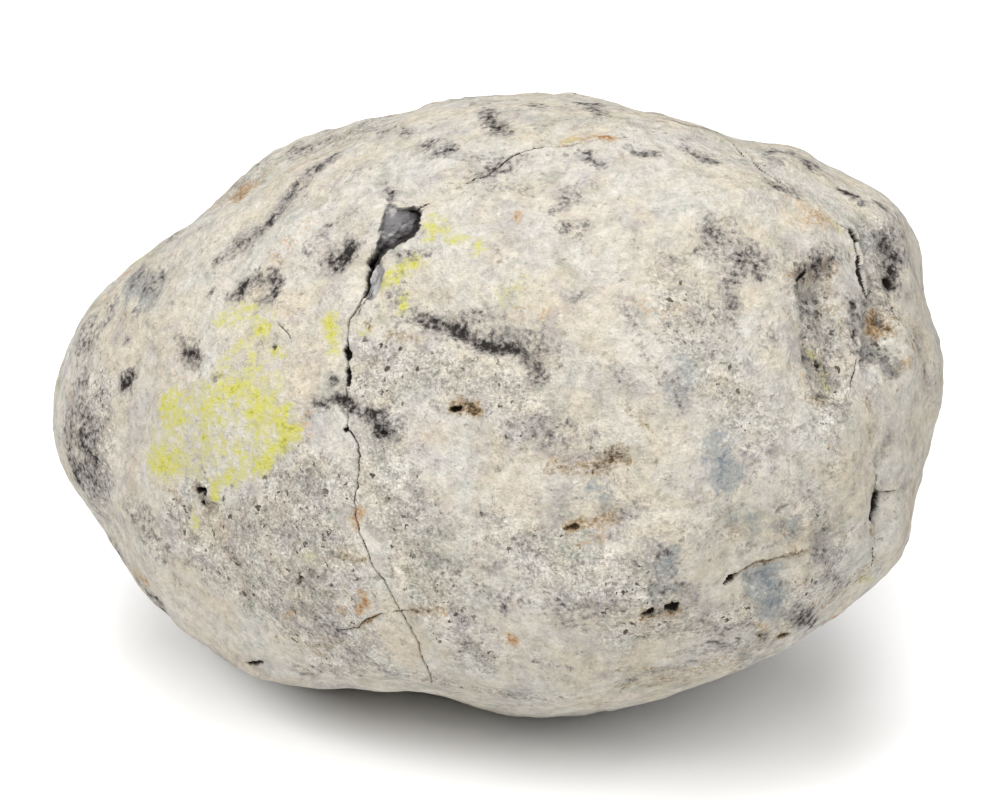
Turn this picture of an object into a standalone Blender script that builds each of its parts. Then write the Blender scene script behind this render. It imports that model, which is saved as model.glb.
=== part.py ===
"""A closed calcite geode: one chalky, egg-shaped nodule with a broad, knobbly end.

A chip is missing near the top of its face, and a crack runs down from the chip to the
underside. It stands on a small flat spot, with its narrow end low and set back.

The stone is drawn in a frame of its own and then set down. In the drawing x runs right,
z up the face and -y out of the face, and lines of sight are parallel. set_down() brings the
drawing to its true shape, leans it back and stands it on the ground.
"""

import math
import random

import bmesh
import bpy
import numpy as np
from mathutils import Matrix, Vector, noise
from mathutils.bvhtree import BVHTree

# Driving dimensions, in metres.
LENGTH = 0.100  # across the face
UNIT = LENGTH / 100  # all places and sizes below are counted in hundredths of the length
HALF = 50.0
FAR = 200.0  # well outside the stone

# The body.
OUTLINE = (  # (right, up) from the middle of the face, clockwise from the narrow end
    (-50.8, -3.6), (-50.2, 1.0), (-49.4, 5.2), (-47.5, 9.7), (-44.3, 14.0), (-40.1, 16.4),
    (-36.7, 18.9), (-34.0, 20.0), (-32.2, 21.9), (-28.7, 24.8), (-25.8, 26.7), (-21.6, 29.0),
    (-16.3, 31.0), (-9.2, 32.8), (-3.1, 34.2), (2.5, 34.9), (7.0, 35.0), (11.5, 34.7),
    (16.0, 33.7), (20.4, 31.9), (24.9, 31.1), (27.4, 29.3), (30.0, 29.5), (33.4, 29.4),
    (35.1, 28.4), (37.5, 26.2), (40.7, 24.8), (44.0, 23.0), (46.2, 20.6), (47.3, 17.6),
    (47.2, 12.6), (48.5, 9.3), (50.6, 6.6), (50.4, 3.2), (48.6, -1.9), (47.9, -7.3),
    (46.8, -11.6), (47.1, -15.2), (44.9, -18.3), (41.8, -20.5), (38.4, -23.0), (33.4, -26.7),
    (30.0, -28.7), (25.5, -30.2), (20.4, -31.7), (16.0, -33.0), (12.0, -34.0), (6.5, -34.9),
    (0.2, -33.8), (-3.4, -33.0), (-6.6, -31.7), (-11.0, -31.5), (-18.9, -32.0), (-23.4, -31.2),
    (-27.9, -30.0), (-31.2, -28.1), (-34.6, -25.5), (-37.4, -23.5), (-41.0, -20.2),
    (-42.4, -16.3), (-44.4, -12.7), (-46.6, -11.0), (-48.7, -7.9),
)
OUTLINE_STEPS = 720  # samples of the outline round the full turn
CRISP_DEG, SOFT_DEG = 0.8, 26.0  # how far the rim and the middle of the face blur the outline
RIM_SHARE = 0.42  # how far in from the rim its knobs fade, as a share of the depth
FRONT_DEPTH, BACK_DEPTH = 34.0, 36.0  # out of the outline's plane, each way
BROAD_END_GAIN = 0.10  # how much deeper than the middle the broad end is
FULLNESS = 2.2  # 2 is an ellipse, and more is boxier
BACK_SWING = 0.20  # the narrow end is set back by this share of its distance from the middle
TOP_TIP = -0.135  # the crown is set back by this share of its height
CUBE_CUTS = 25  # each of the body's six patches is this many quads across

# How it is seen and stands.
EYE_DISTANCE = 377.5  # the face is drawn as seen from here
FACE_LEAN_DEG = 28.0
FLAT_SPOT_CUT = 2.1  # how much of the underside the flat spot takes off
PLANE_SNAP = 1e-6  # how near to the flat spot a point counts as on it

# Coarse unevenness: (size of a lump, height), over all of the stone.
UNEVENNESS = ((13.0, 0.9), (6.0, 0.55), (3.2, 0.3))
NOISE_OFFSET = Vector((3.1, 7.7, 1.9))

# Relief on the face: (path of (right, up) points, reach, rise). A rise below 0 is a hollow.
FACE_RELIEF = {
    "ridge by the broad end": (((30.0, 24.0), (35.0, 22.0), (37.6, 19.0), (38.2, 15.0)), 2.6, 1.1),
    "valley by the broad end": (
        ((39.9, 19.1), (40.6, 15.0), (41.0, 11.0), (40.2, 4.6), (39.6, 1.0)), 1.9, -1.7
    ),
    "upper knob": (((44.0, 20.0),), 4.2, 1.2),
    "stained hollow in the upper knob": (((44.2, 18.4), (44.3, 13.6)), 1.9, -1.2),
    "cream knob": (((45.6, 8.6), (45.4, 5.4)), 3.2, 1.4),
    "foot of the cream knob": (((42.2, 9.6),), 1.5, -0.9),
    "speckled dip": (((35.2, 13.0), (36.6, 7.5), (36.9, 1.0)), 3.2, -1.0),
    "edge of the speckled dip": (((31.6, 15.6), (35.6, 17.6)), 1.9, 0.6),
    "crest below the speckled dip": (((38.6, 0.4), (39.4, -5.0)), 2.6, 0.7),
    "crown knob": (((32.2, 28.0),), 3.2, 0.9),
    "gap below the crown knob": (((27.4, 28.6), (31.4, 25.2)), 1.3, -0.9),
    "ledge": (((27.0, -18.8), (31.0, -17.4), (37.0, -17.4)), 1.6, 0.7),
    "hollow over the ledge": (((26.6, -16.2), (31.4, -14.6), (37.6, -14.0)), 2.2, -0.6),
    "fold near the rim": (((42.9, -3.6), (42.5, -10.0), (42.3, -17.6)), 1.3, -1.0),
    "flap beyond the fold": (((44.9, -8.0), (44.8, -14.6)), 1.7, 0.8),
    "stained groove": (((-9.8, 10.2), (-4.4, 8.2), (-1.2, 7.0), (1.2, 6.6), (3.6, 4.4)), 1.7, -0.8),
    "swell over the groove": (((-4.0, 14.0), (6.0, 12.5)), 6.5, 0.6),
    "swell under the groove": (((-8.0, 2.5), (0.0, -1.0)), 4.0, 0.5),
    "slack right of the middle": (((5.5, -6.4), (12.9, -6.4)), 2.2, -0.8),
    "swell right of the middle": (((13.0, 3.0), (21.0, 4.5)), 6.0, 0.6),
    "lower slack": (((7.8, -13.8), (13.7, -12.0)), 1.8, -0.7),
    "lower swell": (((8.0, -22.0), (18.0, -20.0)), 5.0, 0.6),
    "stained dents": (((25.0, 18.6), (28.8, 15.8)), 2.4, -0.8),
    "lower stained dent": (((26.0, 13.6), (26.0, 9.4)), 1.7, -0.7),
    "foot": (((6.4, -32.6),), 6.0, 1.0),
    "swell at the narrow end": (((-29.5, -4.0), (-25.0, 0.0)), 6.0, 0.8),
    "dent at the narrow end": (((-34.5, 5.8),), 2.2, -0.8),
    "small dent at the narrow end": (((-41.7, 2.6),), 1.7, -0.7),
    "long dent": (((-28.6, 18.4), (-25.2, 21.2), (-21.4, 25.0)), 1.8, -0.9),
    "round dent": (((-27.6, 13.2), (-25.0, 14.0)), 2.1, -0.8),
    "dent beside the chip": (((-17.6, 16.4),), 1.9, -0.7),
    "low edge of the face": (((-42.6, -10.4), (-39.8, -14.2), (-37.0, -20.2), (-33.8, -25.4)), 1.8, 0.8),
    "crease at the narrow end": (((-46.6, -5.0), (-44.8, -7.2)), 1.0, -0.7),
    "crease beyond the low edge": (((-43.6, -13.6), (-40.6, -18.2), (-37.2, -22.4)), 1.5, -0.9),
}

# Relief on the rest of the stone: seeded lumps and hollows behind the outline's plane.
REST_SEED = 11
REST_COUNT = 40
REST_REACH = (3.5, 8.5)
REST_RISE = (-1.5, 1.7)
REST_BEHIND = 9.0  # how far behind the outline's plane they begin
EVEN_TURN = math.pi * (3 - math.sqrt(5))  # the turn that spreads points evenly on a ball

CUTTER_LIFT = 3.0  # how far above the surface a cutter starts

# The chip: its corners on the face, clockwise from the top left, each with its depth.
CHIP = (
    (-12.5, 23.0, 1.2), (-10.4, 22.6, 1.8), (-7.9, 22.8, 1.6), (-8.8, 21.6, 2.6),
    (-8.8, 20.4, 3.4), (-9.8, 19.1, 3.6), (-11.3, 18.0, 3.6), (-12.6, 17.5, 3.2),
    (-14.2, 16.0, 3.0), (-15.0, 16.2, 2.2), (-13.9, 17.4, 1.6), (-13.6, 20.4, 1.2),
)

# Cracks: points on the face (right, up, width, depth).
CRACKS = {
    "main_crack": (
        (-14.0, 17.4, 0.9, 2.6), (-14.8, 16.0, 1.0, 3.0), (-14.9, 14.7, 0.8, 3.0),
        (-14.4, 13.5, 1.3, 3.0), (-15.6, 11.3, 0.6, 2.6), (-16.9, 8.5, 0.45, 2.2),
        (-17.0, 5.8, 0.5, 2.2), (-16.7, 3.4, 0.6, 2.4), (-17.0, 0.2, 0.45, 2.2),
        (-17.0, -2.7, 0.5, 2.0), (-15.6, -4.8, 0.45, 2.0), (-16.0, -9.2, 0.4, 2.0),
        (-16.2, -12.7, 0.4, 1.8), (-14.9, -16.0, 0.4, 1.8), (-12.4, -20.2, 0.4, 1.8),
        (-11.1, -23.1, 0.4, 1.6), (-8.9, -27.1, 0.4, 1.6), (-7.8, -30.4, 0.35, 1.4),
    ),
    "broad_end_crack": (
        (39.9, 19.4, 0.5, 1.4), (40.3, 17.2, 0.45, 1.6), (40.7, 14.9, 0.9, 2.0), (41.1, 12.7, 0.45, 1.2),
    ),
    "fold_crack": (
        (42.7, -9.2, 0.6, 1.6), (42.2, -11.6, 1.0, 2.2), (42.5, -14.4, 0.45, 1.4), (42.1, -17.6, 0.4, 1.0),
    ),
    "crown_crack": ((28.6, 27.7, 0.45, 1.2), (30.0, 26.6, 0.6, 1.4), (31.6, 25.3, 0.5, 1.2)),
}
CRACK_END_TAPER = 0.35  # how much of its width and depth a crack keeps at its ends

# Pits: (right, up, half width, half height, depth).
PITS = {
    "crack_pit_upper": (-17.0, 5.8, 0.6, 0.55, 1.3),
    "crack_pit_lower": (-16.7, 3.3, 0.42, 0.9, 1.2),
    "narrow_end_pit": (-33.5, -9.7, 0.8, 0.5, 1.1),
    "narrow_end_pit_low": (-32.5, -11.6, 0.8, 0.7, 0.7),
    "left_brown_pit": (-4.6, -0.2, 0.8, 0.4, 0.7),
    "middle_brown_pit": (8.5, -13.8, 0.8, 0.4, 0.8),
    "twin_pit_left": (17.1, -23.3, 0.75, 0.55, 1.0),
    "twin_pit_right": (19.4, -23.1, 0.75, 0.6, 1.1),
    "ledge_pit": (26.1, -19.9, 0.5, 0.65, 1.1),
    "green_pit": (36.2, 5.1, 1.1, 0.6, 1.1),
    "stained_pit": (34.3, 14.5, 0.6, 0.75, 1.0),
    "broad_end_pit": (44.3, 13.4, 0.55, 0.55, 1.2),
    "crack_head_pit": (39.8, 19.3, 0.75, 0.6, 1.2),
    "cream_knob_pit": (42.4, 9.4, 0.75, 1.0, 1.2),
    "low_brown_pit": (32.0, -26.0, 0.6, 0.5, 0.8),
}
PIT_SINK = 0.25  # how much of its depth a pit's ball stands out of the surface
PIT_ROUGHNESS, PIT_LUMP = 0.28, 0.6  # how uneven a pit's wall is, and the size of its lumps

STONE_COLOUR = (0.62, 0.58, 0.50, 1.0)
STONE_ROUGHNESS = 0.95
SHARP_DEG = 40.0  # an edge that turns more than this is drawn sharp


def clear_scene():
    for obj in list(bpy.data.objects):
        bpy.data.objects.remove(obj)


def chalk():
    material = bpy.data.materials.new("chalky_limestone")
    material.use_nodes = True
    shader = material.node_tree.nodes["Principled BSDF"]
    shader.inputs["Base Color"].default_value = STONE_COLOUR
    shader.inputs["Roughness"].default_value = STONE_ROUGHNESS
    return material


def new_object(name, mesh):
    obj = bpy.data.objects.new(name, mesh)
    bpy.context.scene.collection.objects.link(obj)
    return obj


def mesh_from(name, bm):
    mesh = bpy.data.meshes.new(name)
    bm.to_mesh(mesh)
    bm.free()
    return mesh


# The body


def blurred(radii, spread_deg):
    """The outline's radii, blurred round the turn."""
    waves = np.arange(len(radii) // 2 + 1)
    keep = np.exp(-0.5 * (waves * math.radians(spread_deg)) ** 2)
    return np.fft.irfft(np.fft.rfft(radii) * keep, len(radii))


def outline_radii():
    """The outline's radius at even steps round the turn, crisp and soft."""
    points = np.array(OUTLINE)
    angles = np.arctan2(points[:, 1], points[:, 0])
    order = np.argsort(angles)
    steps = np.arange(OUTLINE_STEPS) * math.tau / OUTLINE_STEPS
    radii = np.interp(steps, angles[order], np.hypot(*points[order].T), period=math.tau)
    return blurred(radii, CRISP_DEG), blurred(radii, SOFT_DEG)


def even_ball():
    """A ball of six patches of quads, all of about one size."""
    bm = bmesh.new()
    bmesh.ops.create_cube(bm, size=2)
    bmesh.ops.subdivide_edges(bm, edges=bm.edges, cuts=CUBE_CUTS - 1, use_grid_fill=True)
    for vert in bm.verts:
        vert.co = Vector([math.tan(c * math.pi / 4) for c in vert.co]).normalized()
    return bm


def body_point(ball, crisp, soft):
    """Where a point of the unit ball lies on the smooth body."""
    step = math.atan2(ball.z, ball.x) / math.tau * OUTLINE_STEPS
    low = math.floor(step)
    share = step - low
    rim, middle = (
        radii[low % OUTLINE_STEPS] * (1 - share) + radii[(low + 1) % OUTLINE_STEPS] * share
        for radii in (crisp, soft)
    )
    knobs = math.exp(-((ball.y / RIM_SHARE) ** 2))
    radius = middle + (rim - middle) * knobs
    across = (1 - abs(ball.y) ** FULLNESS) ** (1 / FULLNESS)
    flat = Vector((ball.x, 0, ball.z)).normalized() * radius * across
    depth = FRONT_DEPTH if ball.y < 0 else BACK_DEPTH
    depth *= 1 + BROAD_END_GAIN * flat.x / HALF
    out = depth * ball.y - BACK_SWING * flat.x - TOP_TIP * flat.z
    return Vector((flat.x, out, flat.z))


def on_face(tree, right, up):
    """The point and normal of the surface at a place on the face."""
    point, normal, _, _ = tree.ray_cast(Vector((right, -FAR, up)), Vector((0, 1, 0)))
    return point, normal


def distance_to_path(point, path):
    """How far a point is from a chain of points in space."""
    nearest = (point - path[0]).length
    for start, end in zip(path, path[1:]):
        run = end - start
        share = min(1.0, max(0.0, (point - start).dot(run) / run.length_squared))
        nearest = min(nearest, (point - start - run * share).length)
    return nearest


def rest_relief(tree):
    """Seeded lumps and hollows, spread evenly over the sides, the crown and the back."""
    dice = random.Random(REST_SEED)
    found = []
    for number in range(REST_COUNT * 2):
        height = 1 - (number + 0.5) / REST_COUNT
        turn = number * EVEN_TURN
        level = math.sqrt(1 - height * height)
        away = Vector((level * math.cos(turn), level * math.sin(turn), height))
        reach, rise = dice.uniform(*REST_REACH), dice.uniform(*REST_RISE)
        point, _, _, _ = tree.ray_cast(away * FAR, -away)
        if point.y > REST_BEHIND:
            found.append(([point], reach, rise))
    return found


def shape_body(bm):
    """Brings the ball to the stone's form and raises its relief."""
    crisp, soft = outline_radii()
    for vert in bm.verts:
        vert.co = body_point(vert.co, crisp, soft)
    bm.normal_update()
    tree = BVHTree.FromBMesh(bm)
    relief = rest_relief(tree)
    for path, reach, rise in FACE_RELIEF.values():
        points = [on_face(tree, *place)[0] for place in path]
        relief.append((points, reach, rise))
    moves = []
    for vert in bm.verts:
        rise = sum(
            height * noise.noise(vert.co / size + NOISE_OFFSET) for size, height in UNEVENNESS
        )
        for path, reach, height in relief:
            rise += height * math.exp(-((distance_to_path(vert.co, path) / reach) ** 2))
        moves.append(vert.normal * rise)
    for vert, move in zip(bm.verts, moves):
        vert.co += move
    bm.normal_update()


# Setting it down


def standing_matrix(bm):
    """Leans the true shape back and sets the flat spot's height on the ground."""
    lean = Matrix.Rotation(-math.radians(FACE_LEAN_DEG), 4, "X")
    places = [lean @ true_shape(vert.co) for vert in bm.verts]
    lows = [min(p[i] for p in places) for i in range(3)]
    highs = [max(p[i] for p in places) for i in range(3)]
    to_origin = Vector((-(lows[0] + highs[0]) / 2, -(lows[1] + highs[1]) / 2, -lows[2] - FLAT_SPOT_CUT))
    return Matrix.Scale(UNIT, 4) @ Matrix.Translation(to_origin) @ lean


def true_shape(place):
    """A drawn point at its true place: what is nearer the eye is narrower than it looks."""
    narrowing = 1 + place.y / EYE_DISTANCE
    return Vector((place.x * narrowing, place.y, place.z * narrowing))


def set_down(bm, standing):
    for vert in bm.verts:
        vert.co = standing @ true_shape(vert.co)


def cut_flat_spot(bm):
    """Cuts the underside off flat at the ground, where the stone rests."""
    whole = list(bm.verts) + list(bm.edges) + list(bm.faces)
    bmesh.ops.bisect_plane(
        bm, geom=whole, dist=PLANE_SNAP, plane_co=(0, 0, 0), plane_no=(0, 0, -1), clear_outer=True
    )
    rim = [edge for edge in bm.edges if edge.is_boundary]
    bmesh.ops.contextual_create(bm, geom=rim)


# Cutters


def add_cutter(cutters, name, bm, standing):
    """Sets a closed shape down among the cutters."""
    set_down(bm, standing)
    bmesh.ops.recalc_face_normals(bm, faces=bm.faces)
    cutter = bpy.data.objects.new(name, mesh_from(name, bm))
    cutter.hide_render = True
    cutter.display_type = "WIRE"
    cutters.objects.link(cutter)


def take_out(stone, cutters):
    """Takes every cutter out of the stone and keeps the result as its mesh."""
    cut = stone.modifiers.new("cuts", "BOOLEAN")
    cut.operation = "DIFFERENCE"
    cut.operand_type = "COLLECTION"
    cut.collection = cutters
    ready = bpy.context.evaluated_depsgraph_get()
    stone.data = bpy.data.meshes.new_from_object(stone.evaluated_get(ready))
    stone.modifiers.clear()
    for cutter in list(cutters.objects):
        bpy.data.objects.remove(cutter)
    bpy.data.collections.remove(cutters)


def chip_cutter(tree):
    """A wedge whose floor falls away to the right, as the chip's does."""
    bm = bmesh.new()
    tops, floors = [], []
    for right, up, depth in CHIP:
        surface, _ = on_face(tree, right, up)
        tops.append(bm.verts.new(surface - Vector((0, CUTTER_LIFT, 0))))
        floors.append(bm.verts.new(surface + Vector((0, depth, 0))))
    bm.faces.new(tops)
    bm.faces.new(floors)
    for i, top in enumerate(tops):
        bm.faces.new((top, tops[i - 1], floors[i - 1], floors[i]))
    bmesh.ops.triangulate(bm, faces=bm.faces)
    return bm


def crack_cutter(tree, points):
    """A blade, wedge-shaped in section, that follows a crack over the surface."""
    places = [on_face(tree, right, up) for right, up, _, _ in points]
    bm = bmesh.new()
    loops = []
    for i, (place, normal) in enumerate(places):
        before, after = places[max(i - 1, 0)][0], places[min(i + 1, len(places) - 1)][0]
        side = (after - before).cross(normal).normalized()
        at_end = i in (0, len(places) - 1)
        keep = CRACK_END_TAPER if at_end else 1.0
        width, depth = points[i][2] * keep, points[i][3] * keep
        flare = width / 2 * (depth + CUTTER_LIFT) / depth
        top = place + normal * CUTTER_LIFT
        corners = (top + side * flare, top - side * flare, place - normal * depth)
        loops.append([bm.verts.new(corner) for corner in corners])
    for here, there in zip(loops, loops[1:]):
        for k in range(3):
            bm.faces.new((here[k], here[k - 1], there[k - 1], there[k]))
    bm.faces.new(loops[0])
    bm.faces.new(reversed(loops[-1]))
    bmesh.ops.triangulate(bm, faces=bm.faces)
    return bm


def pit_cutter(tree, right, up, half_width, half_height, depth):
    """A rough little ball sunk into the surface."""
    surface, _ = on_face(tree, right, up)
    bm = bmesh.new()
    bmesh.ops.create_icosphere(bm, subdivisions=2, radius=1)
    for vert in bm.verts:
        roughness = 1 + PIT_ROUGHNESS * noise.noise(vert.co / PIT_LUMP + surface)
        size = Vector((half_width, depth * (0.5 + PIT_SINK), half_height))
        vert.co = surface + Vector((0, depth * (0.5 - PIT_SINK), 0)) + vert.co * size * roughness
    return bm


def build():
    clear_scene()
    bm = even_ball()
    shape_body(bm)
    tree = BVHTree.FromBMesh(bm)
    standing = standing_matrix(bm)
    set_down(bm, standing)
    cut_flat_spot(bm)
    geode = new_object("geode", mesh_from("geode", bm))
    geode.data.materials.append(chalk())
    cutters = bpy.data.collections.new("cutters")
    bpy.context.scene.collection.children.link(cutters)
    add_cutter(cutters, "chip", chip_cutter(tree), standing)
    for name, points in CRACKS.items():
        add_cutter(cutters, name, crack_cutter(tree, points), standing)
    for name, size in PITS.items():
        add_cutter(cutters, name, pit_cutter(tree, *size), standing)
    take_out(geode, cutters)
    geode.data.shade_smooth()
    geode.data.set_sharp_from_angle(angle=math.radians(SHARP_DEG))


build()
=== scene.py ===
"""Dresses the calcite geode: the solid's smooth form gets the rind's true surface, with its
chip, cracks, pits and chalky grain, and the stains that mark it.

Marks on the face are placed in the face's own drawing, in millimetres: right and up from the
middle of the face, as seen from the eye's place in front of it. Each is laid on the surface
by a line of sight, so it has a true place in space from then on.
"""

import math
import random

import bmesh
import bpy
import numpy as np
from mathutils import Matrix, Vector, noise
from mathutils.bvhtree import BVHTree


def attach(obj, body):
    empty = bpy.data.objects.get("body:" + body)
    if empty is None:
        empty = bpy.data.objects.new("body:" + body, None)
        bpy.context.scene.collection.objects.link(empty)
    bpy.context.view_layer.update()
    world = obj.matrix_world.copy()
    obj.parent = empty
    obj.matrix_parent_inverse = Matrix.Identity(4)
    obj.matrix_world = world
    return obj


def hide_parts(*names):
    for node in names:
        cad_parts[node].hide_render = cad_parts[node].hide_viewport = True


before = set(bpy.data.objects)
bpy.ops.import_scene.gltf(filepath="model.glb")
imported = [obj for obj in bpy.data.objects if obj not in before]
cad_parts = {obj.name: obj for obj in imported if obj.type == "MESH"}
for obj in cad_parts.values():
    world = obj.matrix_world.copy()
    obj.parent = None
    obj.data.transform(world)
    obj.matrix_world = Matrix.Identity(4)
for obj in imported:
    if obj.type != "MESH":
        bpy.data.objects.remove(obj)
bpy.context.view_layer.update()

MM = 0.001
TINY = 1e-18

# The face's drawing: where its middle is, how it leans, and the eye's distance.
FACE_MIDDLE = Vector((0.00145, -0.00086, 0.03427))
FACE_LEAN = math.radians(28.0)
EYE_DISTANCE = 377.5 * MM
LENS_MM, SENSOR_MM = 120.0, 36.0
FRAME_WIDTH, FRAME_MIDDLE = 1008, (504.0, 405.5)
FACE_MIDDLE_PIXEL = (498.0, 405.0)
LEANING = Matrix.Rotation(-FACE_LEAN, 3, "X")
EYE = FACE_MIDDLE + LEANING @ Vector((0, -EYE_DISTANCE, 0))

# The rind's mesh.
BALL_CUTS = 100  # quads across each of the ball's six patches
FAR = 0.3  # metres, well outside the stone
SAME_SPOT = 1e-7  # metres, within which the solid's corners are one
SOLID_CRACK_REACH, SOLID_CHIP_REACH = 0.3, 2.0  # mm from their lines that the solid's cuts reach
HEAL_MARGIN = 0.9  # mm round the solid's cuts that is closed over before they are carved finely
HEAL_ROUNDS = 200
FACET_ROUNDS = 12
REFINE_MARGINS = (1.0, 0.5)  # mm from a cut within which edges are halved, once per number
FRONT_REACH = 12.0  # mm behind the face's middle, as far as the solid's cuts reach
RIM_PULLS, RIM_PULL = 60, 0.004  # how often, and by what share, a place off the rim is pulled in
STROKE_STEP = 1.0  # mm between the points of a laid path
HOLLOW_ROUNDS = 8  # of evening out: a hollow is what lies below the even surface, and the material paints shade into it

# Relief of the rind, in mm: (size of a lump, height).
LUMPS = ((9.0, 0.32), (4.5, 0.28), (2.2, 0.17), (1.1, 0.09))
NOISE_OFFSET = Vector((5.3, 2.1, 8.7))
SWAY_SEED = 140  # of the noise that sways the marks
FLAKE_SIZE, FLAKE_LAYERS, FLAKE_STEP, FLAKE_EDGE = 9.0, 3.0, 0.22, 0.07
FRAY_SIZE, FRAY = 0.3 * FLAKE_SIZE, 0.5  # the lumps that fray the flakes' edges, in layers
FLAKY_SIZE, FLAKY = 14.0, (-0.3, 0.5)  # the patches that flake, and the noise at which they do
CREASE_FADE = 1.6  # reaches over which a crease fades
LEDGE_WALL, LEDGE_TAPER = 0.3, 0.2  # mm over which a ledge drops; share of its length at an end
LEDGE_UNEVEN, LEDGE_UNEVEN_SIZE = 0.25, 1.1

# The chip: its steep edge from the tip down, then its soft edge back up to the tip.
CHIP_STEEP = (
    (-7.6, 22.7), (-8.8, 21.8), (-8.8, 20.9), (-8.8, 20.3), (-9.4, 19.3), (-10.0, 18.8),
    (-11.0, 18.1), (-11.5, 17.8), (-12.5, 17.5), (-13.4, 16.7), (-13.9, 16.2), (-14.5, 15.7),
)
CHIP_SOFT = (
    (-14.9, 16.1), (-14.7, 16.5), (-13.7, 17.3), (-13.6, 18.8), (-13.7, 20.3), (-13.0, 21.7),
    (-12.7, 22.6), (-11.9, 22.9), (-10.8, 22.4), (-9.4, 22.4), (-8.8, 22.1),
)
CHIP_FLOOR = ((-12.2, 21.6), (-10.4, 20.6), (-12.4, 18.8))
CHIP_EDGE_REACH, CHIP_FLOOR_REACH = 0.1, 1.4  # mm within which the mesh is made fine
CHIP_SHALLOW, CHIP_DEEP, CHIP_RUN = 0.6, 3.2, 1.6  # mm deep, and how fast it deepens
CHIP_STEEP_WALL, CHIP_SOFT_WALL = 0.18, 0.7  # mm over which its walls drop
CHIP_UNEVEN = ((1.8, 0.28), (0.7, 0.10))
CHIP_SWAYS = ((1.1, 0.30), (0.45, 0.16))
CHIP_RIM = 0.2  # mm outside the steep edge that is already painted as dark as the shade under the wall
CHIP_RIM_FULL = 0.4 * CHIP_RIM
CHIP_BARE = (-0.1, 0.6)  # mm from the soft edge over which the slate comes into view
OFF_WALL = 9.0  # mm, past any shade of the wall

# Slate that shows beside the crack, in mm, and the cover over which it comes into view.
SLATE_WEDGE = ((-14.0, 15.9), (-13.8, 14.7), (-14.0, 13.6), (-14.5, 12.8))
SLATE_REACH, SLATE_DEPTH = 0.95, 0.8
SLATE_SHOWS = (0.25, 0.55)

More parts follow.
